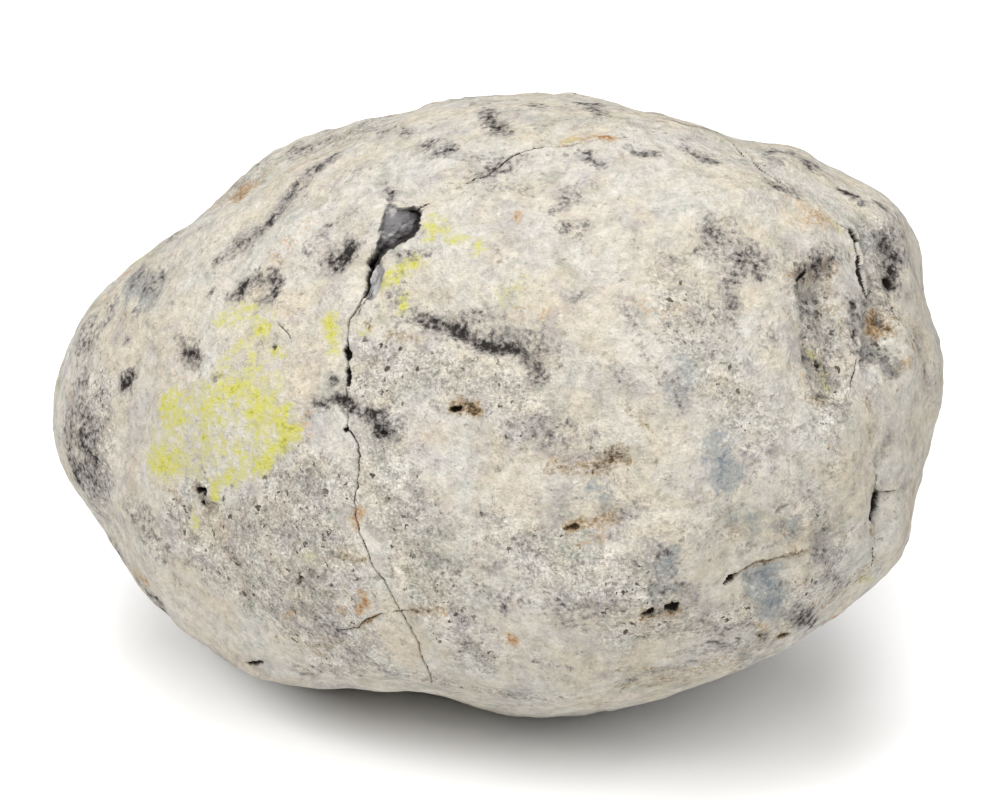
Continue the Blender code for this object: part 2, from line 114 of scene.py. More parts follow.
# Cracks: points (right, up, half width, depth).
CRACKS = {
    "main, by the chip": (
        (-14.4, 16.2, 0.22, 2.0), (-14.7, 15.2, 0.22, 2.0), (-14.8, 14.4, 0.20, 1.8),
        (-14.7, 13.6, 0.18, 1.6), (-15.2, 12.6, 0.12, 1.3), (-15.7, 11.3, 0.09, 0.9),
        (-16.6, 9.6, 0.07, 0.7), (-17.0, 7.9, 0.07, 0.7), (-16.95, 5.8, 0.12, 1.0),
        (-16.85, 4.6, 0.09, 1.0), (-16.75, 3.4, 0.16, 1.1), (-17.0, 1.7, 0.07, 0.7),
        (-17.0, 0.2, 0.06, 0.7), (-16.75, -1.4, 0.06, 0.6), (-17.0, -2.6, 0.12, 0.8),
        (-16.3, -3.4, 0.08, 0.7), (-15.6, -4.5, 0.08, 0.7), (-15.5, -5.7, 0.10, 0.7),
        (-15.7, -7.4, 0.07, 0.6), (-16.0, -9.2, 0.05, 0.4), (-16.1, -11.3, 0.05, 0.4),
        (-16.2, -12.7, 0.06, 0.5), (-15.6, -14.5, 0.06, 0.5), (-14.9, -16.0, 0.07, 0.5),
        (-14.2, -17.9, 0.06, 0.5), (-13.2, -19.2, 0.06, 0.5), (-12.4, -20.2, 0.05, 0.4),
        (-11.7, -21.7, 0.03, 0.2), (-11.1, -23.1, 0.03, 0.2), (-10.4, -23.9, 0.05, 0.4),
        (-9.8, -25.5, 0.08, 0.6), (-8.9, -27.1, 0.07, 0.6), (-8.7, -28.4, 0.07, 0.6),
        (-8.0, -29.6, 0.07, 0.6), (-7.4, -31.2, 0.05, 0.4),
    ),
    "branch, left": (
        (-18.4, -25.2, 0.02, 0.1), (-16.6, -25.1, 0.03, 0.2), (-15.5, -24.9, 0.04, 0.3),
        (-14.9, -24.2, 0.05, 0.4), (-14.0, -23.8, 0.07, 0.4), (-13.0, -23.4, 0.04, 0.3),
    ),
    "beside the crack": (
        (-14.4, 13.2, 0.04, 0.3), (-14.7, 12.4, 0.06, 0.5), (-15.2, 11.4, 0.06, 0.4),
        (-15.7, 10.4, 0.04, 0.2),
    ),
    "tip of the chip": (
        (-9.6, 21.9, 0.30, 1.4), (-8.7, 22.2, 0.22, 1.4), (-7.9, 22.6, 0.10, 0.8),
    ),
    "branch, right": ((-11.6, -23.2, 0.04, 0.2), (-10.4, -23.1, 0.05, 0.3)),
    "crown": (
        (-3.5, 25.1, 0.07, 0.3), (-1.5, 25.7, 0.14, 0.6), (0.4, 27.1, 0.10, 0.4),
        (1.9, 28.1, 0.16, 0.6), (4.0, 29.1, 0.10, 0.4), (7.0, 29.2, 0.08, 0.3),
        (11.5, 29.6, 0.06, 0.4), (15.1, 30.3, 0.05, 0.3),
    ),
    "crown knob": (
        (26.6, 29.2, 0.08, 0.4), (28.0, 28.2, 0.16, 0.8), (29.0, 27.3, 0.20, 1.0),
        (30.2, 26.2, 0.32, 1.4), (31.1, 25.5, 0.34, 1.4), (31.8, 24.9, 0.20, 0.9),
    ),
    "broad end": (
        (38.2, 20.4, 0.06, 0.4), (39.4, 19.5, 0.12, 0.9), (40.1, 18.2, 0.12, 0.9),
        (40.4, 16.6, 0.20, 1.1), (40.6, 15.0, 0.55, 1.3), (40.9, 13.8, 0.40, 1.2),
        (41.4, 12.3, 0.12, 0.5), (41.9, 11.4, 0.08, 0.3),
    ),
    "broad end fold": ((40.3, 5.0, 0.04, 0.2), (40.0, 3.6, 0.06, 0.4), (39.6, 2.1, 0.04, 0.2)),
    "cream knob": (
        (44.8, 11.2, 0.05, 0.2), (45.3, 9.6, 0.10, 0.4), (46.2, 8.3, 0.14, 0.5),
        (47.2, 7.3, 0.10, 0.4),
    ),
    "arc": (
        (26.5, -19.0, 0.03, 0.2), (28.8, -18.0, 0.05, 0.3), (32.0, -17.4, 0.04, 0.3),
        (34.2, -16.8, 0.02, 0.2),
    ),
    "fold": (
        (42.5, -5.4, 0.04, 0.2), (42.7, -9.3, 0.12, 0.8), (42.3, -10.8, 0.55, 1.5),
        (42.1, -12.4, 0.55, 1.5), (42.6, -13.7, 0.12, 0.9), (42.4, -15.5, 0.08, 0.7),
        (42.0, -17.9, 0.05, 0.4),
    ),
    "fold ledge": ((43.0, -10.4, 0.04, 0.3), (44.6, -9.6, 0.05, 0.4)),
    "narrow end": ((-24.7, 9.2, 0.03, 0.2), (-23.9, 8.4, 0.05, 0.3), (-23.4, 7.4, 0.04, 0.2)),
    "narrow end tip": ((-46.2, -5.0, 0.05, 0.3), (-44.8, -6.4, 0.07, 0.4)),
}
CRACK_WAVERS = ((0.9, 0.17), (0.4, 0.09))  # mm: the size of its turns and how far they reach
CRACK_STEP = 0.25
CRACK_UNEVEN, CRACK_UNEVEN_SIZE = 0.5, 0.7
CRACK_FIELD = 3.0  # mm from a crack within which its distance is kept
CRACK_SHADE_FIELD = 0.5 * CRACK_FIELD  # mm from a crack within which its width is kept
CRACK_CUT = 0.10  # mm, the least half width that is carved
CRACK_ROUND = 0.6  # how round its bottom is: 0.5 is round, and more is sharper

# Pits: (path, reach, depth).
PITS = {
    "on the crack": (((-17.1, 6.2), (-16.8, 5.6)), 0.42, 1.2),
    "slot on the crack": (((-16.8, 4.2), (-16.7, 2.6)), 0.28, 1.2),
    "small, on the crack": (((-17.0, -2.7),), 0.32, 0.8),
    "narrow end": (((-33.9, -9.6), (-33.0, -9.8)), 0.36, 1.1),
    "narrow end, below": (((-33.4, -11.0),), 0.38, 0.9),
    "narrow end, scoop": (((-32.6, -12.0), (-31.8, -11.4)), 0.6, 0.45),
    "speck left of the crack": (((-28.1, -13.8),), 0.24, 0.5),
    "speck in the rough": (((-22.1, -19.3),), 0.26, 0.6),
    "under the narrow end": (((-27.9, -29.0), (-26.8, -29.0)), 0.42, 0.7),
    "under the narrow end, right": (((-21.9, -30.2), (-21.0, -30.2)), 0.28, 0.5),
    "lime speck": (((-25.2, 6.5),), 0.3, 0.6),
    "brown, left": (((-5.0, -0.3), (-4.5, -0.3)), 0.34, 0.8),
    "brown, left, shallow": (((-3.7, 0.0), (-2.3, -0.7)), 0.45, 0.35),
    "beside the crack": (((-13.1, -3.0), (-12.6, -3.3)), 0.35, 0.5),
    "red brown": (((7.9, -13.9), (9.0, -13.6)), 0.3, 0.6),
    "brown hollow": (((11.6, -6.6), (14.0, -6.3)), 1.0, 0.39),
    "twin, left": (((16.7, -23.3), (17.3, -22.9)), 0.42, 0.8),
    "twin, right": (((19.1, -22.8), (19.9, -22.8)), 0.46, 0.8),
    "ledge": (((25.9, -20.1), (26.4, -19.4)), 0.34, 0.9),
    "below the ledge, left": (((29.4, -26.0),), 0.32, 0.7),
    "below the ledge, right": (((31.6, -26.1), (32.4, -25.9)), 0.42, 0.7),
    "lower dot": (((24.4, -26.9),), 0.26, 0.6),
    "lower dash": (((21.6, -29.0), (22.2, -28.9)), 0.24, 0.5),
    "lower dash, right": (((26.2, -29.9), (27.3, -29.4)), 0.22, 0.4),
    "lowest dots": (((14.8, -31.1), (15.6, -30.9)), 0.28, 0.5),
    "stained, broad end": (((33.7, 13.9), (34.1, 14.3), (34.6, 15.1)), 0.24, 0.7),
    "stained, broad end, right": (((35.8, 15.3), (37.6, 15.9)), 0.4, 0.35),
    "black, broad end": (((44.6, 13.9),), 0.75, 1.3),
    "head of the broad end crack": (((39.8, 19.2), (40.0, 18.8)), 0.55, 1.2),
    "amber": (((43.3, 10.1), (43.4, 9.5)), 0.6, 0.53),
    "mossy": (((36.4, 4.9), (37.2, 4.6)), 0.3, 0.6),
    "mossy, below": (((36.2, 1.0), (37.4, 1.0)), 0.3, 0.4),
    "valley": (((40.1, 8.2), (40.2, 7.6)), 0.25, 0.6),
    "valley, above": (((39.7, 11.4), (39.9, 10.0)), 0.35, 0.4),
    "speckled dip": (((36.4, 11.9),), 0.24, 0.5),
    "dash on the swell": (((31.3, -12.0), (32.1, -11.6)), 0.22, 0.4),
    "narrow end, dark": (((-41.9, 2.4), (-41.5, 3.0)), 0.6, 0.35),
    "star": (((-35.2, 6.4), (-33.8, 5.4)), 0.7, 0.35),
    "fold": (((42.9, -10.5), (42.3, -12.2)), 0.8, 1.5),
    "star, right": (((-31.2, 3.0),), 0.35, 0.4),
}
PIT_RAGGED, PIT_RAGGED_SIZE = 0.3, 0.5
PIT_SWAYS = ((1.2, 0.3), (0.5, 0.2))
PIT_SHALLOW, PIT_FULL_SHADE = 0.4, 0.8  # mm deep: the shallower are open bowls, the deeper are painted dark with shade
PIT_STEEP, PIT_OPEN = 0.5, 1.5  # how the walls of each kind fall
PIT_SHADE_RIM = (0.85, 1.15)  # reaches over which a pit's painted shade ends

# Creases and ledges too slight for the solid: (path, reach, rise) in mm.
CREASES = {
    "upper knob, hollow": (((43.6, 17.6), (44.4, 13.8)), 1.3, -0.6),
    "upper knob, crest": (((42.8, 21.4), (45.6, 18.6), (46.2, 14.6)), 1.5, 0.5),
    "cream knob": (((45.0, 8.6), (46.2, 5.6)), 1.9, 0.7),
    "dip": (((36.2, 12.6), (37.4, 8.0), (37.6, 3.0)), 2.0, -0.8),
    "stained groove, left": (((-9.5, 9.9), (-6.5, 8.6), (-4.0, 8.0)), 0.7, -0.4),
    "stained groove, right": (((-3.4, 7.4), (-1.5, 6.8), (1.0, 6.8)), 1.1, -0.55),
    "stained groove, end": (((2.6, 5.6), (4.0, 4.2)), 0.8, -0.35),
    "left of the crack": (((-19.5, 0.3), (-16.0, 0.2)), 0.6, -0.3),
    "right of the crack": (((-14.2, -1.2), (-12.4, -3.2)), 0.8, -0.3),
    "spall edge": (((-14.0, 15.4), (-11.0, 15.9), (-8.0, 17.6), (-6.6, 19.8)), 0.7, -0.18),
    "cheek below the crack's pits": (((-12.0, -6.0), (-8.0, -9.0)), 3.0, 0.3),
    "slack": (((-2.0, -6.0), (3.0, -10.0)), 2.4, -0.3),
    "bump": (((0.6, -2.6), (3.0, -4.0)), 1.8, 0.32),
    "fold, scoop": (((43.2, -6.2), (43.8, -8.8)), 1.3, -0.7),
    "fold, left crest": (((39.4, -7.6), (41.0, -11.6)), 1.6, 0.5),
    "fold, right crest": (((44.8, -11.4), (44.2, -15.6)), 1.5, 0.5),
    "above the ledge": (((33.0, -14.6), (37.4, -15.4)), 1.6, -0.5),
    "under the ledge": (((28.4, -19.4), (31.6, -19.0)), 1.2, -0.35),
}

# Ledges: (path, drop, run) in mm. To the left of its path the rind drops, then comes back.
LEDGES = {
    "broad end": (
        ((38.6, 22.0), (40.0, 20.0), (40.7, 18.0), (41.3, 15.4), (41.7, 12.8), (41.3, 9.8),
         (40.9, 6.4), (40.3, 2.6)), 1.6, 3.2
    ),
    "crown knob": (((26.8, 29.3), (28.4, 28.2), (30.2, 26.6), (32.2, 24.9)), 0.5, 1.4),
    "upper knob": (((47.0, 13.6), (45.5, 12.6), (43.6, 12.0), (41.9, 11.8)), 0.4, 1.6),
    "cream knob": (((46.1, 2.8), (44.8, 4.8), (43.6, 7.1), (42.7, 9.0), (42.5, 10.9)), 1.3, 1.6),
    "far knob": (((46.8, 10.4), (47.2, 7.4), (47.9, 5.0), (48.4, 1.4)), 1.2, 1.8),
    "dip": (((33.6, 15.4), (33.9, 11.4), (34.3, 7.0), (35.0, 2.0)), 0.8, 1.9),
    "fold": (((42.2, -5.0), (42.8, -8.4), (42.5, -11.2), (42.4, -14.4), (42.1, -17.6)), 0.7, 1.6),
    "fold, notch": (((46.6, -8.4), (44.8, -9.4), (43.2, -10.2)), 0.6, 1.4),
    "arc": (((35.6, -16.4), (32.0, -17.2), (28.8, -17.9), (26.3, -19.0)), 0.6, 1.8),
    "groove, left": (((-9.6, 10.2), (-6.6, 9.2), (-4.0, 8.5)), 0.3, 1.2),
    "groove, right": (((-3.8, 8.2), (-1.4, 7.7), (1.6, 7.6), (3.4, 5.6)), 0.45, 1.6),
    "lip of the main crack": (
        ((-15.5, 9.8), (-15.2, 11.6), (-14.3, 13.2), (-13.9, 14.6), (-14.2, 15.6)), 0.25, 0.7
    ),
    "brown crease": (((6.0, -6.6), (11.0, -6.5), (14.4, -6.0)), 0.35, 1.2),
    "red brown crease": (((7.8, -14.0), (10.8, -13.2), (14.0, -12.0)), 0.4, 1.2),
    "crown": (((-3.5, 25.3), (-1.5, 25.9), (1.9, 28.3), (7.0, 29.4), (15.1, 30.5)), 0.25, 1.4),
    "lime field": (((-23.0, -1.4), (-24.6, -4.8), (-27.0, -6.8)), 0.25, 1.2),
    "spall": (((-8.6, 17.4), (-6.0, 15.4), (-3.6, 13.0)), 0.18, 1.6),
    "lower spall": (((1.4, -8.0), (-1.0, -11.0), (-2.2, -15.0)), 0.22, 1.8),
    "middle": (((-2.4, -5.4), (1.0, -6.4), (4.4, -9.0)), 0.2, 1.4),
    "rough": (((-24.0, -15.4), (-20.0, -16.4), (-16.4, -15.0)), 0.22, 1.4),
    "low edge": (((-42.4, -10.6), (-40.2, -13.0), (-38.5, -15.8), (-35.7, -21.9)), 0.35, 1.4),
}

# Stains on the face, by kind and place: (reach, strength, the points of its path).
STAINS = {
    "grey": (
        # crown
        (0.8, 0.6, (-8.6, 29.2)), (0.8, 0.6, (-13.2, 30.8), (-10, 30.4)), (0.9, 0.7, (-1.8, 33.6)),
        (1.1, 0.6, (-3.4, 25.4), (0.8, 27.2)), (1, 0.5, (1.4, 26.6), (3.6, 27.6)),
        (1, 0.5, (-16.4, 26.2), (-14.8, 26.6)), (1.3, 1, (-1.3, 32.9), (-0.2, 31.6), (0.9, 30.7)),
        (1.6, 0.75, (-7.2, 29.3), (-5.2, 28.7)),
        (1.5, 0.5, (-3.6, 27.5), (-0.7, 27.8), (1.1, 26.4)),
        (0.9, 0.95, (10.1, 28.4), (11, 27.5), (11.9, 27.1)),
        (0.9, 0.9, (14.8, 28.7), (16.6, 28.1), (18.4, 28.2)),
        (0.9, 0.9, (18.7, 32), (21.3, 31.3), (24.5, 30.8)),
        (1.1, 0.85, (21.1, 28.9), (22.7, 28), (24.5, 27.5)), (1.5, 0.35, (0.2, 24.8), (2.5, 24.2)),
        (1, 0.75, (3.6, 33.8), (5.2, 33.6)), (1.1, 0.9, (9, 34), (10.6, 33.6), (11.7, 32.5)),
        # crown knob
        (1.3, 0.85, (30.3, 28.4), (32.4, 28.7), (34.2, 27.8)),
        (0.9, 0.95, (34.6, 27.8), (35.3, 26.4)), (1.2, 0.8, (31.2, 24.6), (33.5, 23.7)),
        # upper left
        (1.4, 0.4, (-31, 16.6), (-27.6, 19.2)), (1.1, 0.5, (-29.2, 18.1), (-31, 16.7)),
        (0.9, 0.9, (-21.6, 25.7), (-19.8, 26.6), (-18, 28.1)),
        (1.5, 0.9, (-29, 12.7), (-27, 14), (-24.7, 13.4), (-25.6, 11.6)),
        (1, 0.6, (-25.8, 27.8), (-22.2, 29.6)), (0.9, 0.5, (-32.8, 11.8), (-32.1, 12.7)),
        (1.5, 0.75, (-28.7, 17.4), (-26.5, 19.4), (-24.5, 21.5), (-22.2, 24.6)),
        # narrow end
        (4.6, 0.95, (-47, -2), (-46, -8)), (1.2, 0.8, (-42, 2.4), (-41.4, 2.8)),
        (2.2, 0.5, (-41, -12), (-37, -17)), (1.3, 0.35, (-40.7, 10.7), (-41.6, 7.3)),
        (1.3, 0.9, (-48.8, -3.9), (-47.9, -6.4), (-47, -8.4)),
        (1, 0.5, (-45.2, 0.6), (-44.3, -1.2)),
        (1, 0.5, (-43.4, -15.2), (-41.3, -19.1), (-38.9, -21.9)),
        (1.9, 0.95, (-41.1, 14.3), (-39.6, 14), (-38.7, 12.2)),
        (1.6, 0.4, (-43.4, 11.8), (-44.7, 8.4)),
        # lime field
        (1.3, 0.75, (-35.4, 6.4), (-33.6, 4.8)), (0.8, 0.5, (-31.4, 3)),
        (2, 0.5, (-24.6, -7.4), (-20.8, -9)),
        (1.3, 0.55, (-20.7, 17.6), (-19.8, 19.4), (-18.2, 20.3)),
        # chip and upper crack
        (1, 0.55, (-11.2, 13.6), (-10, 11)), (0.7, 0.6, (-12.8, 24.3), (-12, 23.3)),
        (1, 0.85, (-19.8, 0.1), (-17.8, 0.6), (-16.4, 0.1)), (0.9, 0.6, (-18.4, 2.8)),
        (0.9, 0.5, (-15.3, 3.7), (-14.2, 2.8)), (1.7, 1, (-14.8, -0.8), (-13.5, -1.7), (-11.9, -3)),
        (1.6, 1, (-19.1, 16.1), (-17.5, 16.3), (-16.4, 17.4)),
        (0.8, 0.8, (-13.3, 17), (-11, 17.2), (-9.2, 16.9), (-7.4, 16.7)),
        (1.2, 0.55, (-12.6, 13.4), (-11.5, 11.3), (-10.6, 9.8)),
        (1.3, 0.35, (-16, 21.5), (-14.6, 19.4), (-15.3, 17.4)),
        # groove
        (1.3, 1, (-9.2, 9.9), (-5.6, 8.6), (-3.6, 8), (-1.6, 7.2), (1.4, 6.9), (4, 3.9)),
        (1.2, 0.5, (-4, 9.6), (-1.6, 9.6)), (1.2, 0.6, (-6.5, 8.4), (-4, 8), (-1.1, 6.9)),
        (1.6, 0.4, (-1.3, 9.8), (1.1, 8.9), (3.6, 7.8)), (1.3, 0.55, (3.6, 4.8), (5.2, 3.3)),
        # middle
        (0.7, 0.5, (10, 20)), (0.8, 0.55, (7.6, 12.2), (9, 11.8)), (2.2, 0.4, (3.8, 7.6), (7.4, 5)),
        (1.3, 0.4, (6.1, 21.7), (8.1, 23.5), (9.4, 24.6)), (1, 0.5, (7.6, 19.4), (10.1, 20.1)),
        (1.6, 0.35, (4.3, -2.6), (6.5, -4.8)), (2, 0.3, (-8.8, -8.4), (-6.5, -12.9)),
        (1.3, 0.35, (-0.4, 3), (1.3, 1.9)), (1.2, 0.4, (6.5, -0.8), (8.1, -2.1)),
        (1.2, 0.4, (-7.6, 2.4), (-6.5, 0.6)),
        # right of the middle
        (1.6, 0.3, (20.6, 4.6), (20.4, 0)), (1.6, 0.3, (13.7, 11.8), (16, 8.4)),
        (1.6, 0.15, (10.3, -6.4), (14.6, -5.7)), (2.2, 1, (23.6, 19), (26.7, 17.9), (29, 15.6)),
        (2.5, 0.25, (18.2, 17.4), (21.6, 11.8)), (1.2, 0.75, (26.1, 14.3), (25.6, 9.6)),
        (1.3, 0.45, (16.9, 6), (18.2, 3.7)), (1.2, 0.4, (22.7, 10), (24.5, 8.4), (25.2, 6.2)),
        (1.3, 0.35, (29.4, 8.4), (30.8, 6)), (1.5, 0.4, (11.5, 3.7), (14.2, 2.8)),
        (1.3, 0.35, (27.2, 1), (29.4, -0.3)), (1.6, 0.6, (23.1, 19), (24.5, 17.4)),
        # broad end
        (1.4, 0.55, (35, 16), (38.4, 17)), (1.2, 0.6, (40, 12), (40.2, 7)),
        (1.5, 0.75, (42.6, 6), (44.2, 4.6)), (1, 0.7, (42, 15), (42.8, 12)),
        (1, 0.9, (38.4, 24.4), (40.2, 23), (41.3, 22.1)),
        (1, 0.55, (42.7, 22.4), (44.5, 21.2), (45.6, 19.4)), (1.1, 0.6, (43.6, 20.6), (45.2, 20.1)),
        (1.3, 0.5, (41.6, 11.8), (40.9, 10)), (1.1, 0.5, (36.9, 18.1), (35.3, 16.3)),
        (1.8, 0.3, (47.9, 7.3), (48.5, 2.8)), (2.2, 0.38, (35.6, 13), (36.4, 8), (37, 2.8)),
        (1.8, 1, (44.2, 18.1), (44.8, 16.1), (44.6, 14)),
        # fold and rim, right
        (1.1, 0.5, (43.4, -4.6), (42.8, -8.4)),
        # low left
        (2, 0.4, (-19.4, -24), (-16, -27)), (1.1, 0.4, (-20.9, -28.9), (-17.8, -30)),
        (1, 0.4, (-13.7, -29.1), (-11.5, -30)), (3.8, 0.32, (-30, -17), (-26, -21), (-20, -23.9)),
        (2.7, 0.25, (-24.6, -13), (-20, -16)), (1.8, 0.3, (-28.3, -12.9), (-26.5, -17.4)),
        (1.8, 0.3, (-22.7, -18.1), (-20.4, -21.9)),
        # low middle
        (1.3, 0.5, (12.8, -11.6), (15.6, -11.2)), (2, 0.35, (-7.4, -17), (-4, -18.2)),
        (1.3, 0.5, (14, -31.2), (20, -29.4)), (3, 0.3, (4, -22), (10, -25)),
        (1.6, 0.3, (13.3, -15.2), (15.5, -17.4)), (2.2, 0.3, (-3.1, -17.4), (0.2, -21.9)),
        (1.9, 0.6, (19.6, -17), (18.2, -20.1), (20, -20.8)),
        (1.3, 0.45, (2.5, -15.2), (5.2, -16.1)), (1.2, 0.4, (-2, -12), (0.2, -12.9)),
        (1.6, 0.4, (7, -21.9), (10.3, -23.7)), (1.3, 0.4, (4.3, -28.7), (7.6, -29.6)),
        (1.3, 0.45, (-3.1, -26.4), (-1.3, -29.1)), (3.1, 0.22, (-12, -12), (-6, -20)),
        # low right
        (1.7, 0.8, (32.4, -23.4), (36, -24.4)), (1.8, 0.55, (22.6, -27.4), (28.4, -27)),
        (0.8, 0.6, (20.6, -23.4), (22, -22)), (1.5, 0.5, (36.4, -19.6), (38.6, -20.6)),
        (1, 0.7, (23.1, -23.3), (24, -24.6)), (1.1, 0.4, (27.4, -16.5), (29.4, -16.1)),
        (1.5, 0.5, (36.2, -15.2), (38, -18.1)), (1.3, 0.5, (24.9, -25.7), (28.1, -25.1)),
    ),
    "black": (
        # crown
        (0.45, 0.45, (-13.1, 30.6)), (0.4, 0.5, (-15.5, 26.2)),
        (0.6, 0.6, (3.6, 33.6), (4.3, 33.1)), (0.7, 0.8, (9.4, 33.8), (10.8, 32.9), (11.5, 32.2)),
        (0.7, 0.7, (-1.1, 32.2), (0.2, 30.9)), (0.6, 0.5, (-6.3, 28.9), (-4.9, 28.7)),
        (0.6, 0.6, (-13.5, 30.9), (-12.8, 30.1)), (0.4, 0.7, (-10.8, 30.4), (-10.1, 30)),
        (0.4, 0.8, (10.1, 28.4), (10.6, 27.3), (11.9, 27.1)), (0.4, 0.8, (15.1, 28.4), (17.5, 28)),
        (0.6, 0.6, (19.1, 31.9), (21.6, 31.3)),
        (0.4, 0.7, (21.3, 28.9), (22.5, 27.8), (24.3, 27.3)),
        # crown knob
        (0.5, 0.7, (30, 26.2), (31.4, 25.4)), (0.4, 0.9, (31, 27.8), (31.5, 27.3)),
        (0.6, 0.8, (34.6, 27.5), (35.1, 26.4)), (0.4, 0.5, (32.6, 27.5), (33.5, 27.1)),
        (0.6, 0.5, (31.2, 24.4), (32.6, 23.7)),
        # upper left
        (0.6, 0.5, (-29.2, 18.3), (-28.3, 18.5)), (0.6, 0.8, (-21.6, 26.4), (-20.2, 26.6)),
        (0.4, 0.9, (-18.7, 27.9), (-18, 28.3)),
        (0.7, 0.75, (-29, 13.1), (-27.4, 14.5), (-26.5, 13.6)),
        (0.6, 0.75, (-25.8, 14.9), (-24.5, 13.8), (-24.9, 12)),
        (0.4, 0.7, (-27.2, 12.2), (-26.1, 11.3)), (0.6, 0.5, (-26.5, 19.9), (-25.2, 21)),
        # narrow end
        (1.2, 0.6, (-47.4, -7.4)), (0.7, 0.95, (-42.5, 2.1), (-41.6, 2.6), (-40.9, 3.3)),
        (0.7, 0.45, (-40.2, 13.6), (-39.3, 12.9)),
        (0.4, 0.7, (-46.7, -4.6), (-45.8, -5.5), (-44.9, -6.4)),
        (0.7, 0.6, (-47.9, -7.3), (-47.2, -8.4)),
        # lime field
        (0.45, 0.6, (-31.3, 3)), (0.6, 0.9, (-34.2, -9.4), (-33.2, -10)),
        (0.4, 0.5, (-20.7, 17.4), (-20.2, 17)),
        (0.6, 0.95, (-35.3, 6.4), (-34.2, 5.7), (-33.5, 6.2)),
        (0.3, 0.8, (-36.2, 7.8), (-35.3, 6.9)), (0.3, 0.8, (-33.9, 5.5), (-33, 4.8)),
        (0.2, 0.6, (-33.7, 6.6), (-33, 7.8)), (0.6, 0.8, (-31.2, 3)),
        (0.3, 0.8, (-25.3, 6.5), (-24.9, 8)), (0.2, 0.7, (-29.9, -2.1), (-29.4, -1.7)),
        (0.3, 0.5, (-29.1, 8.7)),
        # chip and upper crack
        (0.6, 0.5, (-15.8, 5.4), (-14.6, 5)), (0.25, 0.7, (-12, 23), (-9.2, 22.6)),
        (0.4, 0.5, (-12.7, 24.2), (-12.2, 23.2)), (0.4, 0.7, (-17.1, 17.4), (-16.4, 17.9)),
        (0.7, 0.95, (-19.6, 0.1), (-18, 0.6), (-16.4, -0.1)), (0.5, 0.8, (-18.7, 3), (-18, 2.6)),
        (0.3, 0.5, (-12.4, -1.7), (-11.5, -2.4)), (0.7, 0.6, (-15.1, -1.2), (-13.7, -1.7)),
        (0.7, 0.6, (-13.7, -2.8), (-11.9, -3.3)),
        (0.9, 0.8, (-18.7, 16.1), (-17.3, 16.5), (-16.6, 17.4)),
        (0.3, 0.6, (-12.4, 17.2), (-10.6, 17.3)), (0.4, 0.7, (-8.3, 17), (-7.2, 16.5)),
        (0.4, 0.6, (-11.7, 12.7), (-11, 11.6)),
        # groove
        (0.4, 0.5, (2.9, 6), (3.8, 4.6)), (0.6, 0.7, (-7, 9.6), (-5.2, 8.7), (-3.6, 8)),
        (0.6, 0.7, (-3.1, 7.5), (-1.6, 6.9)), (0.7, 0.8, (-0.7, 6.6), (0.7, 6.4), (2, 6.6)),
        (0.3, 0.7, (-9.2, 3.5), (-8.3, 3.3)),
        # middle
        (0.35, 0.5, (6.2, 3.6), (7, 3.5)), (0.4, 0.8, (9.9, 19.9)),
        (0.4, 0.5, (8.2, 12.2), (8.7, 12)), (0.3, 0.8, (-0.2, -3.5)),
        (0.4, 0.7, (-6.3, 2.6), (-5.6, 2.8)), (0.3, 0.6, (-6.5, -10.7)),
        # right of the middle
        (0.5, 0.6, (26, 13.8), (26, 11.4)), (0.3, 0.4, (12, 5.5), (12.5, 5.1)),
        (0.3, 0.8, (26.4, 0.3), (27, 0.6)), (0.2, 0.5, (13.9, 5.7)), (0.3, 0.5, (16.9, -2.2)),
        (0.3, 0.7, (26.7, -9.8), (27.4, -10)), (0.3, 0.6, (31.2, -8.4), (32.6, -8.4)),
        (0.3, 0.6, (29.4, -5.5)), (0.3, 0.6, (12.4, 5.1), (12.8, 6)),
        # broad end
        (0.6, 0.5, (43.4, 19.2)), (0.6, 1, (44.9, 13.5)), (0.6, 0.7, (38, 24.4), (39.8, 23.5)),
        (0.4, 0.7, (43.3, 18.5), (44, 17.9)), (0.4, 0.9, (42.8, 16.1), (43.5, 15.2), (42.6, 14.5)),
        (0.4, 0.6, (46, 17), (46.4, 15.8)), (0.3, 0.7, (35.3, 14.3), (36.4, 14.9), (37.5, 15.6)),
        (0.3, 0.6, (36.9, 16.7), (38.2, 16.1)), (0.4, 0.6, (39.8, 12.2), (40, 11.3)),
        (0.4, 0.6, (40.4, 9.8), (40.2, 8.4)), (0.2, 0.8, (36.4, 11.9)),
        (0.3, 0.5, (34.6, 11.8), (34.8, 10)), (0.3, 0.9, (35.2, 5.6), (35.7, 5.1)),
        (0.4, 0.95, (36.2, 4.8), (37.3, 4.6)), (0.2, 0.7, (36.9, 3.9), (37.1, 2.8)),
        (0.2, 0.8, (35.7, 1), (36.4, 1.2)), (0.3, 0.8, (36.9, 1), (37.8, 0.8)),
        (0.3, 0.6, (41.8, 6), (42.5, 5.3)), (0.2, 0.7, (44.3, 10.9), (44.7, 11.1)),
        (0.3, 0.4, (43, 8.4), (43.6, 8)), (0.3, 0.7, (42.6, 16.7), (43.1, 17.4)),
        (0.6, 0.6, (43.5, 18.5), (44.6, 17.4)), (0.8, 1, (33.7, 14.5), (34.4, 15.2), (35.3, 15.4)),
        (0.4, 0.8, (33.8, 13.8), (34.2, 12.9)), (0.4, 0.8, (34.6, 15.6), (36, 15.8)),
        (0.6, 0.9, (34.8, 5.7), (35.7, 5.1), (36.6, 4.6)),
        (0.8, 1, (44.2, 17.4), (44.9, 16.1), (44.6, 14.9)), (0.7, 1, (44, 16.1), (44.4, 15.4)),
        (0.4, 0.8, (45.3, 17.4), (45.5, 16.5)), (0.4, 0.9, (43.2, 15.8), (43.3, 14.5)),
        (0.3, 0.9, (37.5, 16.1), (38, 16.5)), (0.3, 0.8, (39.1, 15.2), (39.3, 14.5)),
        (0.3, 0.9, (36.4, 14.5), (37.1, 14.9)), (0.3, 0.8, (38.2, 14)), (0.3, 0.8, (35.3, 11.8)),
